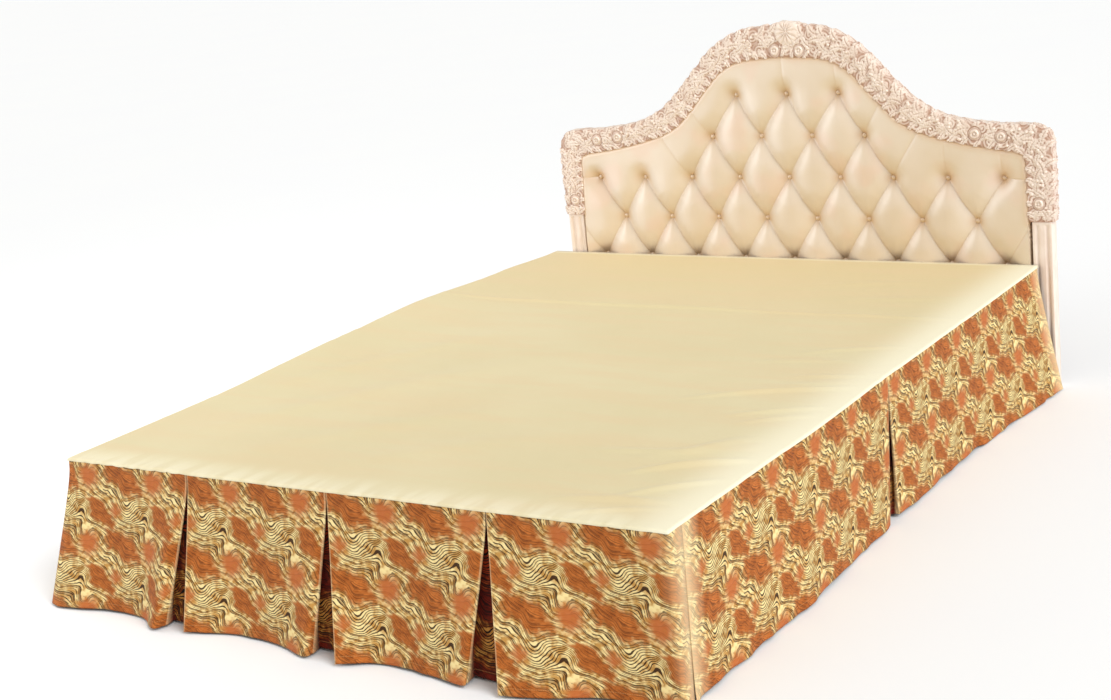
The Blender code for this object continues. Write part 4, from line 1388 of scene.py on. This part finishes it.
# How far leaves stray along the rim, in their turn and across it, and how their length varies.
STRAY_ALONG, STRAY_TURN, STRAY_ACROSS, LENGTH_RANGE = 0.25, 0.35, 0.05, (0.85, 1.15)
BERRY_COUNT, BERRY_RADIUS, BERRY_RISE, BERRY_STEP = 150, 0.0042, 0.0068, 0.001
BERRIES_ALONG, BERRIES_ACROSS = (0.01, 0.99), (0.15, 0.85)
PETAL_COUNT, PETAL_TWIST, PETAL_SHARE, ROSE_RINGS, RING_DEPTH = 5, 9.0, 0.8, 13.0, 0.28
SCROLL_ROWS = (0.26, 0.74, -0.20)
SCROLL_COUNT, SCROLL_PITCH, SCROLL_REACH, SCROLL_RISE = 144, 0.0085, 0.030, 0.0042
SCROLL_FULLNESS, RIDGE_SHARE, RIDGE_POWER = 1.3, 0.65, 0.7
# The ring round a rose that is kept clear: where it starts and how wide it is, in the rose's radius.
CLEAR_START, CLEAR_WIDTH = 0.9, 0.25
# The step along the rim that shows its direction, and the rows whose ornaments push its edges.
STEP_AHEAD, OUTER_ROWS, INNER_ROWS = 0.004, 6, slice(-6, -2)
# How the ornaments at the rim's two edges push its outline. Columns: how far, less how much, share across.
OUTER_LUMP, INNER_LUMP = (0.009, 0.0015, 0.3), (0.010, 0.002, 0.2)
HIGHEST_LUMP, SIDE_RELIEF, HOLLOW_BELOW = 1.2, 0.6, 0.7
# Over this length from the outer rows' end, and this share from the inner edge, the carving fades.
OUTER_FADE, INNER_FADE = 0.006, 0.015


print(len(ROSES), "roses,", sum(row[1] for row in LEAF_ROWS), "leaves,", BERRY_COUNT, "berries")


# %% Moulding and ornaments
def along_line(line, shares):
    """Points of the line at these shares of its length."""
    steps = np.concatenate([[0.0], np.cumsum(np.linalg.norm(np.diff(line, axis=0), axis=1))])
    return np.column_stack([np.interp(shares * steps[-1], steps, line[:, axis]) for axis in range(2)])


def moulding(across):
    """The moulding's base height over the share across, from its outer edge (0) to its inner edge (1)."""
    lip = INNER_LIP * np.clip((across - LIP_START) / (1.0 - LIP_START), 0.0, 1.0)
    crown = np.sqrt(np.clip(1.0 - ((across - CROWN_MIDDLE) / CROWN_HALF) ** 2, 0.0, 1.0))
    return CROWN * crown - MOULDING_FOOT + lip


def rose(local, radius):
    """A rose seen from the front: rings of petals round a bud."""
    distance = np.hypot(local[..., 0], local[..., 1]) / radius
    angle = np.arctan2(local[..., 1], local[..., 0])
    petals = 0.5 + 0.5 * np.cos(PETAL_COUNT * angle + PETAL_TWIST * distance)
    dome = np.sqrt(np.clip(1.0 - distance ** 2, 0.0, 1.0))
    rings = 1.0 - RING_DEPTH + RING_DEPTH * np.cos(distance * ROSE_RINGS - PETAL_SHARE * petals)
    return ROSE_RISE * dome * rings


def shell(local, radius):
    """A ribbed fan that opens towards the rim's outer edge."""
    outward = local[..., 1] - SHELL_FOOT * radius
    distance, angle = np.hypot(local[..., 0], outward), np.arctan2(local[..., 0], -outward)
    ribs = 1.0 - RIB_DEPTH + RIB_DEPTH * np.abs(np.cos(angle * SHELL_RIBS / 2))
    return ROSE_RISE * np.sqrt(np.clip(1.0 - (distance / (SHELL_REACH * radius)) ** 4, 0.0, 1.0)) * ribs


def leaf(local, length, width, curl):
    """A scrolling leaf: lobed, grooved down its middle, and lifting from its stem to its tip."""
    share = local[..., 0] / length
    across = local[..., 1] - curl * share ** 2 * length
    off_middle = np.abs(across) / width
    lobes = 1.0 + LOBE_DEPTH * np.cos(share * LOBE_TURNS - LOBE_SLANT * off_middle)
    edge = np.clip(1.0 - share ** 2, 0.0, 1.0) * width * lobes
    inside = np.clip(1.0 - (across / np.maximum(edge, 1e-6)) ** 2, 0.0, 1.0)
    groove = 1.0 - GROOVE_DEPTH * np.exp(-(off_middle / GROOVE_WIDTH) ** 2)
    veins = 1.0 - VEIN_DEPTH * (0.5 + 0.5 * np.cos(share * VEIN_TURNS - VEIN_SLANT * off_middle))
    lift = STEM_LEVEL + (1.0 - STEM_LEVEL) * np.clip((share + 1.0) / 2.0, 0.0, 1.0)
    return LEAF_RISE * inside ** LEAF_FULLNESS * groove * veins * lift


print("moulding stands out by", round(float(moulding(CROWN_MIDDLE)), 4), "m at its middle")


# %% Carving
def ornament_frame(places, share, across, turn):
    """The places seen from an ornament at share and across, which is turned from the rim's direction."""
    ahead, here = along_line(outer_line, np.array((min(share + STEP_AHEAD, 1.0), share)))
    middle = here * (1 - across) + along_line(inner_line, np.array((share,)))[0] * across
    heading = math.atan2(*(ahead - here)[::-1]) + turn
    offset = places - middle
    return np.stack([offset[..., 0] * math.cos(heading) + offset[..., 1] * math.sin(heading),
                     offset[..., 1] * math.cos(heading) - offset[..., 0] * math.sin(heading)], axis=-1)


def carving(places):
    """How far the scrolls, leaves, berries and roses stand out, mirrored about the crest."""
    draws = np.random.default_rng(3)
    height = np.zeros(places.shape[:-1])
    for number in range(SCROLL_COUNT):
        side = 1 if number % 2 else -1
        local = ornament_frame(places, (number + 0.5) / SCROLL_COUNT, SCROLL_ROWS[number % 3], 0.0)
        distance, angle = np.hypot(local[..., 0], local[..., 1]), np.arctan2(local[..., 1], local[..., 0])
        ridge = 0.5 + 0.5 * np.cos(distance * FULL_TURN / SCROLL_PITCH - side * angle)
        fade = np.clip(SCROLL_FULLNESS - distance / SCROLL_REACH, 0.0, 1.0)
        relief = 1.0 - RIDGE_SHARE + RIDGE_SHARE * ridge ** RIDGE_POWER
        height = np.maximum(height, SCROLL_RISE * fade * relief)
    for middle, count, length, width, turn in LEAF_ROWS:
        for number in range(count):
            share = (number + 0.5 + STRAY_ALONG * draws.uniform(-1, 1)) / count
            mirrored = 1 if share < 0.5 else -1
            heading = mirrored * (turn + STRAY_TURN * draws.uniform(-1, 1))
            heading += math.pi if mirrored < 0 else 0.0
            local = ornament_frame(places, share, middle + STRAY_ACROSS * draws.uniform(-1, 1), heading)
            curl = mirrored * math.copysign(LEAF_CURL, turn)
            height = np.maximum(height, leaf(local, length * draws.uniform(*LENGTH_RANGE), width, curl))
    for _ in range(BERRY_COUNT):
        local = ornament_frame(places, draws.uniform(*BERRIES_ALONG), draws.uniform(*BERRIES_ACROSS), 0.0)
        dome = np.clip(1.0 - (local ** 2).sum(axis=-1) / BERRY_RADIUS ** 2, 0.0, 1.0)
        height = np.maximum(height, BERRY_RISE * np.sqrt(dome) + BERRY_STEP * (dome > 0))
    for share, across, radius in ROSES:
        local = ornament_frame(places, share, across, 0.0)
        past = np.hypot(local[..., 0], local[..., 1]) / radius - CLEAR_START
        clear = np.clip(past, 0.0, CLEAR_WIDTH) / CLEAR_WIDTH
        height = np.maximum(height * clear, rose(local, radius))
    share, across, radius = SHELL
    return np.maximum(height, shell(ornament_frame(places, share, across, 0.0), radius))


print("carving of scrolls, leaves, berries, roses and a shell")


# %% Rim surface
def rim_surface():
    """The front from the outer to the inner edge, and before it the rows that go round the outer edge."""
    shares = np.linspace(0.0, 1.0, RIM_ALONG)
    outer, inner = along_line(outer_line, shares), along_line(inner_line, shares)
    outward = (outer - inner) / np.linalg.norm(outer - inner, axis=1)[:, None]
    front_rows = np.linspace(0.0, 1.0, RIM_ACROSS)
    wrap_rows = np.linspace(WRAP, 0.0, WRAP_ROWS, endpoint=False)
    across = np.concatenate([0.0 * wrap_rows, front_rows])[:, None]
    past = np.concatenate([wrap_rows, 0.0 * front_rows])[:, None]
    places = outer[None] + (inner - outer)[None] * across[..., None]
    border = np.clip(np.minimum((WRAP - past) / OUTER_FADE, (1.0 - across) / INNER_FADE), 0.0, 1.0)
    relief = carving(places + outward[None] * past[..., None]) * border
    sideways = np.clip(past / WRAP_TURN, 0.0, 1.0)

    def lump(size, rows, from_edge):
        """The outline's bumps, as high as the ornaments in these rows, fading away from the edge."""
        rise, drop, reach = size
        bumps = rise * np.clip(rows.max(axis=0) / LEAF_RISE, 0.0, HIGHEST_LUMP) - drop
        return bumps[None] * np.clip(1.0 - from_edge / reach, 0.0, 1.0)

    outer_rows, inner_rows = relief[WRAP_ROWS:WRAP_ROWS + OUTER_ROWS], relief[INNER_ROWS]
    shift = lump(OUTER_LUMP, outer_rows, across) + SIDE_RELIEF * sideways * relief
    shift = shift - lump(INNER_LUMP, inner_rows, 1.0 - across)
    places = places + outward[None] * shift[..., None]
    y = RIM_FRONT - moulding(across) + past - (1.0 - sideways) * relief
    points = np.stack([places[..., 0], y, places[..., 1]], axis=-1)
    # Glaze and painted shade in the low places between the ornaments, kept off the edges.
    hollow = border * (1.0 - np.clip(relief / (HOLLOW_BELOW * LEAF_RISE), 0.0, 1.0))
    behind = points[[0, -1, 0]] * np.array((1.0, 0.0, 1.0)) + np.array((0.0, RIM_BACK, 0.0))
    return np.concatenate([behind[:1], points, behind[1:]]), np.pad(hollow, ((1, 2), (0, 0)))


def close_tube(piece):
    """Joins the first row to the last one, which lies on it, and caps both ends."""
    start_edit(piece, "EDGE")
    bpy.ops.mesh.select_all(action="SELECT")
    bpy.ops.mesh.remove_doubles(threshold=1e-5)
    bpy.ops.mesh.fill_holes(sides=0)
    bpy.ops.mesh.normals_make_consistent(inside=False)
    end_edit()


rim_points, rim_hollow = rim_surface()
rim, row, column = add_grid("headboard_rim_carved", rim_points)
carry(rim, hollow=np.clip(rim_hollow[row, column], 0.0, 1.0))
close_tube(rim)
settle(rim, "headboard_rim_carved", PAINT_FINISH, "ivory_paint", "headboard_rim", smooth_angle=60.0)

# %% [markdown]
# ## Floor, sizes and the end
# The floor is nearly white, so that little more than the soft shadow under the hems shows of it. The last
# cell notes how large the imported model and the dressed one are, and hands the scene over.

# %% Floor finish
FLOOR_TONES = (colour(247, 250, 255), colour(249, 252, 255))

floor_material, floor_tree, floor_shader = new_material("pale_floor", roughness=0.9)
feed(floor_shader["Base Color"], mix(noise(object_map(floor_tree), 1.5), *FLOOR_TONES))
floor.data.materials.append(floor_material)
print("floor:", floor_material.name)

# %% Sizes and the last line
visual_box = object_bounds()
for label, box in (("CAD box", CAD_BOX), ("visual box", visual_box)):
    print(label, [[round(value, 4) for value in corner] for corner in box])
